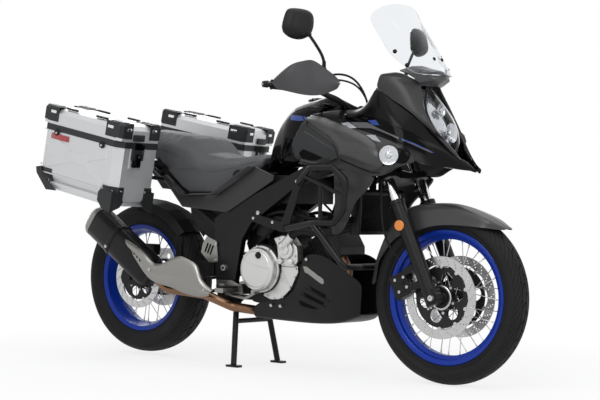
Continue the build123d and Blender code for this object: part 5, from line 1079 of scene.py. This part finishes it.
def make_engine():
    cx, cz = 3.0, 404.0
    built("clutch_flange", ENGINE_BLACK, (boss, (cx, -118, cz), (0, -1, 0), 99, 36, 64, 97, 4),
        replaces=("engine_covers",))
    built("clutch_cover", ENGINE_SILVER, (boss, (cx, -152, cz), (0, -1, 0), 95, 8, 64, 93, 2),
        (boss, (cx, -160, cz), (0, -1, 0), 88, 26, 64, 84, 7), (boss, (cx, -186, cz), (0, -1, 0), 74, 3.5, 64, 70, 2),
        (boss, (cx + 16, -188, cz + 56), (0, -1, 0), 20, 4, 32, 19, 1))
    built("oil_filler", BLACK_PLASTIC, (boss, (cx + 16, -191, cz + 56), (0, -1, 0), 15, 5, 24, 13, 1.5),
        (block, (cx + 16, -196.5, cz + 56), (22, 5, 6)))
    hose("clutch_rib", [(cx - 66, -190, cz + 34), (cx - 20, -190.5, cz + 18), (cx + 20, -190.5, cz + 10),
        (cx + 68, -190, cz + 4)], 1.8, ENGINE_SILVER)
    bolts("clutch_bolts", [(around((cx, cz), 92, 20 + 40 * k, -160), (0, -1, 0), 5.5) for k in range(9)])
    built("pump_cover", ENGINE_SILVER, (slab, [(66, 530), (110, 542), (152, 536), (186, 498), (190, 440), (172, 420),
        (112, 418), (92, 440), (84, 500)], -118, -158, 6), (boss, (134, -158, 486), (0, -1, 0), 40, 12, 40, 36, 4),
        (boss, (134, -170, 486), (0, -1, 0), 22, 6, 32, 20, 2),
        (boss, (108, -158, 440), (0, -1, 0), 13, 12, 24, 12, 2),
        (boss, (156, -156, 438), (0.5, -0.86, 0), 11, 22, 24, 10, 1))
    built("pump_neck", ENGINE_SILVER, *((boss, place, way, r, d, 32, r * 0.97, 1)
        for place, way, r, d in (((118, -168, 496), (0.78, -0.12, 0.6), 17, 72),
        ((172, -176, 538), (0.78, -0.12, 0.6), 19.5, 7), ((122, -169, 499), (0.78, -0.12, 0.6), 20, 6))))
    hose("coolant_hose", [(174, -176, 539), (200, -180, 560), (236, -182, 566), (290, -176, 556), (352, -160, 560),
        (420, -142, 574), (452, -132, 590)], 15.5, sides=6)
    built("lower_cover", ENGINE_SILVER, (slab, [(30, 425), (100, 420), (182, 422), (186, 398), (168, 366), (150, 330),
        (118, 300), (96, 282), (50, 282), (10, 296)], -118, -146, 6))
    built("cover_gasket", ENGINE_BLACK, (slab, [(24, 430), (192, 428), (197, 396), (178, 360), (160, 324), (124, 290),
        (100, 272), (44, 272), (2, 290)], -117, -129, 3))
    bolts("cover_bolts", [((x, -146, z), (0, -1, 0), 5.5) for x, z in ((176, 412), (172, 378), (148, 338), (112, 298),
        (70, 290), (36, 300))] + [((x, -158, z), (0, -1, 0), 5) for x, z in ((96, 528), (152, 524), (180, 462),
        (176, 430), (122, 428))])
    bolts("cover_nuts", [((x, -129, z), (0, -1, 0), 7) for x, z in ((188, 424), (188, 372), (140, 308), (104, 276),
        (52, 277))], paint=BLACK_METAL)
    built("lower_cover_ribs", ENGINE_SILVER,
        *((block, (96 + 8 * k, -147, 392 - 10 * k), (50, 4, 3), 0, 2, radians(20)) for k in range(5)))
    built("generator_cover", ENGINE_SILVER, (boss, (96, 117, 392), (0, 1, 0), 93, 32, 64, 91, 6),
        (boss, (96, 149, 392), (0, 1, 0), 84, 14, 64, 76, 7), (boss, (96, 163, 392), (0, 1, 0), 56, 14, 48, 50, 5),
        (slab, [(-90, 470), (-20, 480), (4, 440), (-4, 360), (-60, 330), (-96, 360)], 117, 140, 6))
    bolts("generator_bolts", [(around((96, 392), 86, 10 + 40 * k, 150), (0, 1, 0), 5.5) for k in range(9)]
        + [((x, 140, z), (0, 1, 0), 5) for x, z in ((-80, 460), (-16, 470), (-66, 342), (-88, 380))])
    # cooling fins on the barrels, plug leads, looms, breathers and throttle parts
    fins = bmesh.new()
    for lean in (58, -26):
        a = radians(lean)
        spot = Vector((95, 0, 395)) + Vector((sin(a), 0, cos(a))) * 170
        for k in range(9):
            at = spot + Vector((sin(a), 0, cos(a))) * (k * 7 - 34)
            block(fins, at, (128, 150, 2.6), turn=a)
    eased(fins, 6, 2, [e for e in fins.edges if abs(e.calc_length() - 0.0026) < 1e-05])
    put("barrel_fins", fins, ENGINE_BLACK)
    for side, label in SIDES:
        hose("plug_lead" + label, [(210, side * 30, 520), (236, side * 84, 560), (200, side * 108, 610),
            (140, side * 100, 650), (110, side * 80, 690)], 4.5)
        hose("loom" + label, [(-80, side * 112, 560), (-20, side * 122, 610), (60, side * 126, 640),
            (150, side * 122, 630), (240, side * 118, 600), (300, side * 112, 620)], 7)
        hose("breather" + label, [(-60, side * 96, 500), (-20, side * 116, 530), (40, side * 112, 560),
            (70, side * 96, 620)], 8)
    built("throttle_parts", BLACK_PLASTIC, *((block, (x, side * 98, z), (w, 30, h), 5, 2, 0.2)
        for x, z, w, h in ((40, 596, 90, 50), (150, 604, 70, 60), (246, 590, 60, 45), (-20, 560, 70, 60))
        for side in (RIGHT, LEFT)))


def make_radiator():
    built("radiator_fins", BLACK_METAL, *((block, (474 + (14 + 3.5 * k) * 7 / 174, 0, 570 + 3.5 * k), (12, 268, 0.6))
        for k in range(42)))
    built("radiator_tanks", BLACK_PLASTIC, *((block, (x, 0, z), (36, 300, 14), 3)
        for z, x in ((562, 462), (714, 469))), *((block, (466, side * 143, 638), (36, 16, 164), 3, 2, radians(2.3))
        for side in (RIGHT, LEFT)))


def make_exhaust():
    start, end = Vector((-525, -226, 362)), Vector((-825, -240, 569))
    way = (end - start).normalized()
    length = (end - start).length
    across = Vector((0, 1, 0))
    across = (across - way * across.dot(way)).normalized()
    tall = way.cross(across)

    def section(distance, grow, corner=40, steps=6):
        wide, high = 52 + grow / 2, 68 + grow / 2
        ring = []
        for qx, qy, first in ((1, 1, 0), (-1, 1, 90), (-1, -1, 180), (1, -1, 270)):
            for k in range(steps + 1):
                a = radians(first + 90 * k / steps)
                ring.append(start + way * distance + across * (qx * (wide - corner) + corner * cos(a))
                    + tall * (qy * (high - corner) + corner * sin(a)))
        return [tuple(p) for p in ring]
    bm = ring_body([section(d, g) for d, g in ((0.3, -26), (10, -8), (24, 0), (length - 4, 0), (length - 0.4, -3))])
    put("muffler_can", bm, BLACK_METAL, replaces=("muffler",), sharp=40)
    bm = ring_body([section(d, g) for d, g in ((length, -4), (length + 2, 1), (length + 14, 1), (length + 26, -8),
        (length + 33, -20), (length + 31, -30), (length + 20, -38))])
    put("muffler_cap", bm, SHIELD_METAL, sharp=45)
    centre = start + way * (length + 19)
    built("muffler_outlet", STEEL, (boss, centre, way, 30, 12, 40, 28, 1))
    # a disc of painted shade inside the outlet, for the dark within the pipe
    built("outlet_hole", OPENING_SHADE, (boss, centre + way * 12.2, way, 25, 0.6, 40, 25))
    bm = ring_body([section(d, g) for d, g in ((length * 0.62, 3), (length * 0.62 + 3, 5), (length * 0.62 + 17, 5),
        (length * 0.62 + 20, 3))])
    put("muffler_strap", bm, BLACK_METAL, sharp=45)
    spot = start + way * (length * 0.62 + 10) - across * 56 + tall * 30
    bolts("strap_bolt", [(tuple(spot), tuple(-across), 8)])
    # polished shield over the pipe
    grid = [[(-624, -290, 498), (-515, -290, 444), (-446, -282, 401), (-362, -264, 434), (-311, -256, 428),
        (-260, -250, 402), (-231, -248, 347), (-178, -240, 309)], [(-592, -290, 463), (-500, -290, 396),
        (-424, -284, 362), (-362, -270, 372), (-316, -262, 362), (-268, -256, 344), (-233, -252, 316),
        (-186, -242, 302)], [(-561, -290, 429), (-483, -290, 350), (-399, -282, 325), (-361, -266, 313),
        (-320, -258, 299), (-276, -252, 291), (-236, -248, 287), (-196, -240, 294)]]
    lead = [[(x, y + 9, z + 3) for x, y, z in grid[0]], grid[0], between(grid[0], grid[1], 0.5, 5), grid[1],
        between(grid[1], grid[2], 0.5, 4), grid[2], [(x, y + 10, z - 2) for x, y, z in grid[2]]]
    panel("shield_panel", grid_sheet(lead), SHIELD_METAL, 2.2, replaces=("exhaust_shields",))
    # the shield's slots are thin blocks of painted shade, not cut through
    built("shield_slots", OPENING_SHADE, *((block, (-566 + 16 * k, -292.5, 452 - 16 * k), (7.5, 4, 34), 1.6, 2, radians(18))
        for k in range(3)))
    bolts("shield_bolts", [((-478, -291, 384), (0, -1, 0), 8), ((-214, -250, 312), (0, -1, 0), 6)])


def make_pan_trim():
    target = ("pan_shell",)
    # the pan's slots are sheets of painted shade laid on the shell, for the dark inside them
    film("pan_slot_a", [(250, 350), (330, 318)], [(262, 334), (326, 302)], target, OPENING_SHADE, 0.4)
    film("pan_slot_b", [(216, 326), (320, 288)], [(232, 306), (308, 270)], target, OPENING_SHADE, 0.4)
    film("pan_slot_c", [(196, 292), (290, 262)], [(206, 268), (262, 258)], target, OPENING_SHADE, 0.4)
    film("pan_plaque", [(216, 424), (236, 424), (318, 378), (322, 364)], [(228, 400), (244, 396), (304, 362),
        (316, 358)], target, SHIELD_METAL, 0.5, 1.6)
    film("pan_rib_a", [(226, 342), (340, 296)], [(228, 336), (340, 290)], target, BLACK_PLASTIC, 0.2, 3, edge=1.2)
    film("pan_rib_b", [(206, 314), (320, 272)], [(208, 308), (318, 266)], target, BLACK_PLASTIC, 0.2, 3, edge=1.2)
    bolts("pan_bolts", [((x, side * y, z), (0, side, 0), 7) for side in (RIGHT, LEFT) for x, y, z in ((238, 158, 452),
        (60, 153, 262), (110, 156, 262))])


# ---------------------------------------------------------------- side cases
def case_place(side):
    """Matrix from the right case's own axes, in millimetres, to the machine's."""
    toe, pitch = Matrix.Rotation(radians(-3.21), 4, "Z"), Matrix.Rotation(radians(10.64), 4, "Y")
    place = Matrix.Translation((-463.4, -265.7, 902.7)) @ toe @ pitch
    if side == LEFT:
        place = Matrix.Translation((0, 0, 16.9)) @ Matrix.Diagonal((1, -1, 1, 1)) @ place
    return Matrix.Diagonal((MM, MM, MM, 1)) @ place


def box(bm, low, high, bevel=0.0, segments=2):
    """Box between two corners in the case's own axes, with its edges rounded."""
    size = [b - a for a, b in zip(low, high)]
    middle = [(a + b) / 2 for a, b in zip(low, high)]
    made = bmesh.ops.create_cube(bm, size=1, matrix=Matrix.Translation(middle) @ Matrix.Diagonal((*size, 1)))["verts"]
    if bevel:
        eased(bm, bevel / MM, segments, list({e for v in made for e in v.link_edges}))


def in_case(name, bm, side, body, paint, sharp=38, replaces=()):
    """Make a bmesh in the case's own axes a piece of the case on one side."""
    bmesh.ops.transform(bm, matrix=case_place(side), verts=bm.verts)
    put(name + dict(SIDES)[side], bm, paint, body, replaces, sharp)


def cased(name, side, body, paint, *forms, sharp=38):
    """Piece of a case made of simple forms, as in built."""
    bm = bmesh.new()
    for form, *values in forms:
        form(bm, *values)
    in_case(name, bm, side, body, paint, sharp)


def stud(bm, place, way, radius, depth, segments=16, top=None):
    """Round head standing on a place in the case's own axes."""
    turn = Matrix.Translation(place) @ Vector(way).to_track_quat("Z", "Y").to_matrix().to_4x4()
    bmesh.ops.create_cone(bm, cap_ends=True, segments=segments, radius1=radius, radius2=top or radius, depth=depth,
        matrix=turn @ Matrix.Translation((0, 0, depth / 2)))


def plate(bm, places, depth):
    """Flat plate through places in the case's own axes, made thick along depth."""
    face = bm.faces.new([bm.verts.new(p) for p in places])
    made = bmesh.ops.extrude_face_region(bm, geom=[face])["geom"]
    moved(made, bm, depth)


def make_cases():
    length, width, height = 487.5, 217.7, 247.0
    for side, label in SIDES:
        lid, chassis = label[1:] + "_lid", "chassis"
        # pressed cross in the outer face, and the pressed border round it
        bm = bmesh.new()
        for a, b, w in (((-426, -56), (-300, -100), 30), ((-64, -70), (-190, -104), 30),
                ((-424, -168), (-300, -128), 34), ((-70, -196), (-190, -132), 34)):
            way = Vector((b[0] - a[0], 0, b[1] - a[1]))
            turn = Matrix.Translation(((a[0] + b[0]) / 2, -width - 0.2,
                (a[1] + b[1]) / 2)) @ Matrix.Rotation(atan2(-way.z, way.x), 4, "Y")
            made = bmesh.ops.create_cube(bm, size=1, matrix=turn @ Matrix.Diagonal((way.length, 3.2, w, 1)))["verts"]
            edges = list({e for v in made for e in v.link_edges})
            bmesh.ops.bevel(bm, geom=edges, offset=1.5, offset_type="OFFSET", affect="EDGES", segments=4, profile=0.6,
                material=-1)
        box(bm, (-318, -width - 2, -140), (-172, -width + 2, -92), 1.9, 4)
        in_case("case_pressing", bm, side, chassis, CASE_METAL)
        cased("case_folds", side, chassis, CASE_METAL,
            (box, (-length + 34, -width - 1.2, -212), (-34, -width + 2, -206), 1.1, 3),
            (box, (-length + 10, -width - 1.0, -30.5), (-10, -width + 2, -27.5), 0.9, 2))
        # facets and bright inlets on the lid corner guards
        cased("guard_facets", side, lid, GUARD_GREY, *((box, (x0, y0, 3), (x1, y1, 76), 13, 1)
            for x0, x1 in ((-88, 5), (-length - 5, -length + 88))
            for y0, y1 in ((-56, 4), (-width - 4, -width + 56))), (box, (0.5, -150, 4), (10, -92, 30), 3), sharp=28)
        cased("guard_inlet", side, lid, CHROME, *(form for x in (-62, -length + 62)
            for form in ((box, (x - 17, -width - 5.6, 44), (x + 17, -width - 3, 56), 2.2),
            (box, (x - 17, 3, 44), (x + 17, 5.6, 56), 2.2))), *((box, (3, y - 12, 42), (5.6, y + 12, 54), 2.2)
            for y in (-width + 40, -40)))
        cased("lid_swages", side, lid, CASE_METAL, *((box, (-length + 100, -width + 70 + (width - 140) * k - 6, 69),
            (-100, -width + 70 + (width - 140) * k + 6, 71.6), 1.2, 3) for k in (0.18, 0.5, 0.82)))
        cased("lid_rails", side, lid, BLACK_PLASTIC, *(form for x in (-150, -340)
            for form in ((box, (x - 36, -28, 69), (x + 36, -16, 77), 3),
            (box, (x - 36, -width + 16, 69), (x + 36, -width + 28, 77), 3))))
        # strap eyes on the rim band
        cased("band_eyes", side, chassis, BLACK_PLASTIC, *(form for x in (-100, -length + 100)
            for form in ((stud, (x, -width - 3.2, -32), (0, -1, 0), 15, 5, 24, 13),
            (stud, (x, 3.2, -32), (0, 1, 0), 15, 5, 24, 13))))
        cased("case_rivets", side, chassis, STEEL, *((stud, (x, -width - 8.4, -35), (0, -1, 0), 4.5, 2, 16, 3.5)
            for x in (-100, -length + 100)),
            *((stud, (x, -width - 3.2 + (10 if z < -190 else 3), z), (0, -1, -0.1), 5, 2.4, 16, 4)
            for x, z in ((-52, -196), (-12, -206), (-length + 24, -176), (-length + 74, -238))),
            *((stud, (3.4, y, z), (1, 0, 0), 5, 2.4, 16, 4) for y, z in ((-width + 44, -206), (-44, -206))))
        # lid with sloping upper edges, open below
        rings = []
        for z, dx, dy, cut in ((0, 0, 0, 9), (45, 0, 0, 9), (62, 12, 12, 8), (70, 34, 30, 8)):
            x0, x1, y0, y1 = dx - length, -dx, dy - width, -dy
            rings.append([(x0 + cut, y0, z), (x1 - cut, y0, z), (x1, y0 + cut, z), (x1, y1 - cut, z),
                (x1 - cut, y1, z), (x0 + cut, y1, z), (x0, y1 - cut, z), (x0, y0 + cut, z)])
        bm = ring_body(rings)
        bmesh.ops.scale(bm, vec=(1000, 1000, 1000), verts=bm.verts)
        bmesh.ops.delete(bm, geom=[f for f in bm.faces if all(v.co.z < 1 for v in f.verts)], context="FACES_ONLY")
        bmesh.ops.recalc_face_normals(bm, faces=bm.faces)
        bmesh.ops.solidify(bm, geom=bm.faces[:], thickness=1.6)
        in_case("lid_shell", bm, side, lid, CASE_METAL, 25, (lid,))
        # lower corner guards, folded round the corner
        bm = bmesh.new()
        for s, y in ((-1, -width), (1, 0)):
            for outline in ([(-78, -222), (-66, -206), (5, -208), (5, -292), (-44, -284), (-78, -256)],
                    [(-length, -196), (34 - length, -186), (45 - length, -218), (150 - length, -270),
                    (83 - length, -278), (9 - length, -220)]):
                plate(bm, [(x, y + s * 4, z) for x, z in outline], (0, s * 3.4, 0))
            plate(bm, [(3, y + s * 7, -208), (3, y - s * 38, -214), (3, y - s * 60, -248), (3, y - s * 44, -272),
                (3, y + s * 7, -292)], (3.4, 0, 0))
        in_case("corner_folds", bm, side, chassis, GUARD_GREY, 25)
        cased("case_tray", side, chassis, CASE_METAL, (box, (90 - length, 3 - width, -270), (-8, -3, -238), 9))
        # ribs on the lower guards
        cased("guard_ribs", side, chassis, GUARD_GREY, *((box, (-56, y, -height + 8), (-8, y + 4.4, -height + 50), 2)
            for y in (-width - 4.4, 0)))
        cased("case_reflector", side, chassis, RED,
            (box, (-length + 66, -width - 5, -62), (-length + 176, -width - 1, -38), 1.92, 3))
        # latch on the front face
        cased("latch_lever", side, chassis, GLOSS_BLACK, (box, (2, -148, -30), (19, -94, -2), 3),
            (box, (2, -142, -104), (15, -100, -30), 4), (box, (14, -136, -96), (20, -106, -48), 3))
        cased("latch_links", side, chassis, STEEL, (box, (9, -146, -46), (16, -140, -12), 1.5),
            (box, (9, -102, -46), (16, -96, -12), 1.5), (stud, (20, -121, -58), (1, 0, 0), 6, 2, 20))
        cased("latch_plate", side, chassis, CASE_METAL, (box, (-0.5, -154, -112), (2.4, -88, -20), 2.2, 3))


# ---------------------------------------------------------------- bars, hoses, brakes and small fittings
def make_bars():
    end, along = Vector((252, -432, 1118)), (Vector((338, -255, 1108)) - Vector((252, -432, 1118))).normalized()
    for side, label in SIDES:
        flip = Matrix.Diagonal((1, 1 if side == RIGHT else -1, 1, 1))

        def at(distance, x=0, y=0, z=0):
            spot = end + along * distance + Vector((x, y, z))
            return tuple(flip @ spot)
        way = tuple(flip @ along)
        built("grip_ribs" + label, RUBBER, *((boss, at(16 + 6 * k), way, 17.6, 3.4, 24, 17.6, 0.8)
            for k in range(20)), (boss, at(12), way, 20, 4, 28, 19, 1), (boss, at(135), way, 21, 4, 28, 20, 1),
            body="steering")
        control = 166
        spot = Vector(at(control, 52, -10, 44))
        built("reservoir" + label, BLACK_PLASTIC, (block, spot, (46, 62, 36), 7, 3), body="steering")
        built("reservoir_lid" + label, BLACK_METAL, (block, spot + Vector((0, 0, 20)), (48, 64, 6), 2),
            body="steering")
        bolts("reservoir_screws" + label, [(tuple(spot + Vector((dx, dy, 23))), (0, 0, 1), 3) for dx in (-17, 17)
            for dy in (-25, 25)], "steering")
        built("switch_keys" + label, GREY_PLASTIC, *((boss, at(control - 8 + 6 * k, dx * 1.1, -3, dz * 1.1),
            (-0.8, 0.1 * side, 0.5 - 0.4 * k), 5, 7, 16, 4, 1)
            for (k, (dx, dz)) in enumerate(((-14, 14), (-20, 2), (-16, -10)))), body="steering")
        hose("brake_hose_a" + label, [at(control, 60, 16, 34), (366, side * 206, 1168), (416, side * 164, 1176),
            (468, side * 130, 1130), (488, side * 102, 1040), (496, side * 92, 930)], 4.2, body="steering")
        hose("brake_hose_b" + label, [at(control, 50, 26, 30), (372, side * 196, 1150), (430, side * 150, 1148),
            (478, side * 118, 1096), (486, side * 92, 1020), (474, side * 74, 940)], 3.6, body="steering")
        hose("switch_lead" + label, [at(control, 10, 8, -22), (354, side * 214, 1100), (394, side * 140, 1076),
            (420, side * 96, 1010), (452, side * 78, 960)], 5, body="steering")
    built("ignition_lock", BLACK_PLASTIC, (boss, (446, 0, 1074), (0.4, 0, 1), 20, 12, 32, 18, 2), body="steering")


def make_front_details():
    """Brake line, reflectors and bolts on the fork, and the caliper's heads."""
    for side, label in SIDES:
        hose("fork_brake_hose" + label, [(561, side * 118, 850), (566, side * 128, 790), (572, side * 134, 720),
            (576, side * 136, 640), (590, side * 138, 560), (620, side * 128, 500), (646, side * 112, 470)], 4.2,
            body="steering")
        built("leg_reflector" + label, AMBER, (boss, (657, side * 131, 596), (0.1, side, 0), 21, 5, 32, 19, 1.5),
            body="steering")
        built("reflector_holder" + label, BLACK_PLASTIC,
            (boss, (657, side * 127, 596), (0.1, side, 0), 24, 5, 32, 23, 1), body="steering")
    built("fork_seals", RUBBER,
        *((boss, (583 + 1.3 * k, side * 103, 742 - 3 * k), (-0.43, 0, 0.903), 25.5 - k * 0.4, 3, 32, 25, 0.8)
        for side in (RIGHT, LEFT) for k in range(3)), body="steering")
    bolts("axle_nuts", [((808, side * 130, 330), (0, side, 0), 13) for side in (RIGHT, LEFT)], "steering")
    bolts("axle_pinch_bolts", [((800 + dx, side * 131, 300 + dz), (0, side, 0), 5) for side in (RIGHT, LEFT)
        for dx, dz in ((-2, -10), (26, 2))], "steering")
    s, c = sin(RAKE), cos(RAKE)

    def on_axes(ahead, y, up):
        return STEERING_X + ahead * c - up * s, y, ahead * s + up * c
    ahead = (FRONT_AXLE[0] - STEERING_X) * c + FRONT_AXLE[1] * s
    up = -(FRONT_AXLE[0] - STEERING_X) * s + FRONT_AXLE[1] * c
    heads = []
    for side in (RIGHT, LEFT):
        for da, du in ((-144, 84), (-144, 132), (-104, 88), (-104, 128)):
            heads.append((on_axes(ahead + da, side * 97.5, up + du), (0, side, 0), 7))
        for du in (78, 138):
            heads.append((on_axes(ahead - 86, side * 97.5, up + du), (0, side, 0), 6))
    bolts("caliper_bolts", heads, "steering")
    built("caliper_pistons", BLACK_METAL,
        *((boss, on_axes(ahead - 122, side * 97, up + du), (0, side, 0), 17, 3, 28, 15, 1.2) for side in (RIGHT, LEFT)
        for du in (92, 124)), body="steering")


def make_screen_fixings():
    for side, label in SIDES:
        built("screen_screws" + label, GLOSS_BLACK,
            *((boss, (x, side * y, z), (0.35, side * 0.9, 0.25), r, 6, 24, r * 0.8, 1.5)
            for x, y, z, r in ((634, 152, 1250, 9), (680, 136, 1198, 9))),
            (boss, (726, side * 26, 1228), (1, 0, 0.45), 8, 5, 24, 6, 1.2))


def make_frame_details():
    for side, label in SIDES:
        bolts("frame_bolts" + label, [((x, side * 148.5, z), (0, side, 0), r)
            for x, z, r in ((-195, 400, 15), (-20, 628, 10))] + [((x, side * 155, z), (0, side, 0), 7)
            for x, z in ((178, 756), (122, 574), (-40, 606), (60, 592), (200, 772))]
            + [((x, side * 155, z), (0, side, 0), 6) for x, z in ((-236, 497), (-240, 430), (-212, 322), (-168, 338))])
        # the heel plate's slots are thin blocks of painted shade, not cut through
        built("heel_slots" + label, OPENING_SHADE,
            *((block, (-262 - 14 * k, side * 155.2, 470 + 5 * k), (6, 2, 40), 0, 2, radians(24)) for k in range(3)))
        built("peg_rubber" + label, RUBBER, *((block, (-120, side * (176 + 13.5 * k), 326.5), (40, 8, 9), 2)
            for k in range(7)))
    film("cover_accent", [(-425, 693), (-404, 700), (-234, 704), (-40, 816)], [(-440, 688), (-404, 693), (-234, 697),
        (-36, 811)], ("side_cover_panels",), GREY_PLASTIC, 0.3, 0.6)
    film("cover_bead", [(-516, 774), (-404, 696), (-300, 696)], [(-520, 768), (-406, 690), (-300, 690)],
        ("side_cover_panels",), GREY_PLASTIC, 0.3, 2.0)
    # seat pan, battery tray and starter between the rails
    for side, label in SIDES:
        built("seat_pan" + label, BLACK_PLASTIC, (slab, [(60, 790), (-160, 800), (-240, 745), (-400, 745),
            (-520, 800), (-600, 850), (-606, 815), (-520, 745), (-404, 668), (-212, 650), (-60, 745)], side * 124,
            side * 128))
        built("battery_tray" + label, BLACK_PLASTIC, (slab, [(-236, 690), (-232, 520), (-300, 500), (-382, 540),
            (-440, 610), (-452, 690)], side * 62, side * 92, 8),
            (slab, [(-60, 560), (-60, 470), (-128, 452), (-150, 500), (-120, 600)], side * 20, side * 70, 8))
    # rear shock spring
    foot, top = Vector((-308, 0, 440)), Vector((-236, 0, 544))
    way = (top - foot).normalized()
    across = Vector((0, 1, 0))
    third = way.cross(across)
    points = [tuple(foot + way * (16 + 84 * k / 60) + across * 29 * cos(2 * pi * k / 10)
        + third * 29 * sin(2 * pi * k / 10)) for k in range(61)]
    hose("shock_spring", points, 4.6, SHIELD_METAL, fine=3)
    built("tail_lamp_lens", RED, (block, (-948, 0, 898), (22, 104, 32), 5, 3), replaces=("tail_lamp",))
    built("rack_strips", RUBBER, *((block, (-868, y, 959.5), (150, 8, 3), 1) for y in (-42, 0, 42)))
    built("plate_blank", PALE_GREY, (block, (-1034, 0, 805), (2, 170, 115), 0, 2, radians(54)))


# ---------------------------------------------------------------- dressing the solids
DRESSED = {"fork_lowers": BLACK_METAL, "fork_tubes": CHROME, "triple_clamps": BLACK_METAL,
    "front_calipers": BLACK_METAL, "rear_caliper": BLACK_METAL, "handlebar": BLACK_METAL, "bar_controls": RUBBER,
    "main_frame": BLACK_METAL, "subframe": BLACK_METAL, "swingarm": BLACK_METAL, "rear_shock": BLACK_METAL,
    # the radiator core takes the painted shade, for the dark between its fins
    "chain": STEEL, "engine": ENGINE_BLACK, "radiator": OPENING_SHADE, "crash_bars": BLACK_METAL, "exhaust_pipe": HOT_STEEL,
    "air_box": BLACK_PLASTIC, "dash_stay": BLACK_PLASTIC, "rear_rack": BLACK_METAL, "right_case": CASE_METAL,
    "left_case": CASE_METAL, "case_trim": GUARD_GREY, "case_carriers": BLACK_METAL, "centre_stand": BLACK_METAL,
    "side_stand": BLACK_METAL, "foot_rests": SHIELD_METAL, "pedals": SHIELD_METAL, "right_lid_guards": GUARD_GREY,
    "left_lid_guards": GUARD_GREY}
for node, paint in DRESSED.items():
    dress(node, paint)
make_fairing()
make_tank()
make_fairing_trim()
make_front_fender()
make_hand_guards()
make_mirrors()
make_belly_pan()
make_pan_trim()
make_screen()
make_screen_fixings()
make_lamp()
make_seat()
make_engine()
make_radiator()
make_exhaust()
make_cases()
make_bars()
make_front_details()
softened("rear_hugger", "hugger_shell", BLACK_PLASTIC, 2.0, 6)
softened("side_covers", "side_cover_panels", SATIN_CHARCOAL, 2.5, 6)
softened("tail_cowl", "tail_cowl_shell", SATIN_CHARCOAL, 3.0, 8)
make_frame_details()
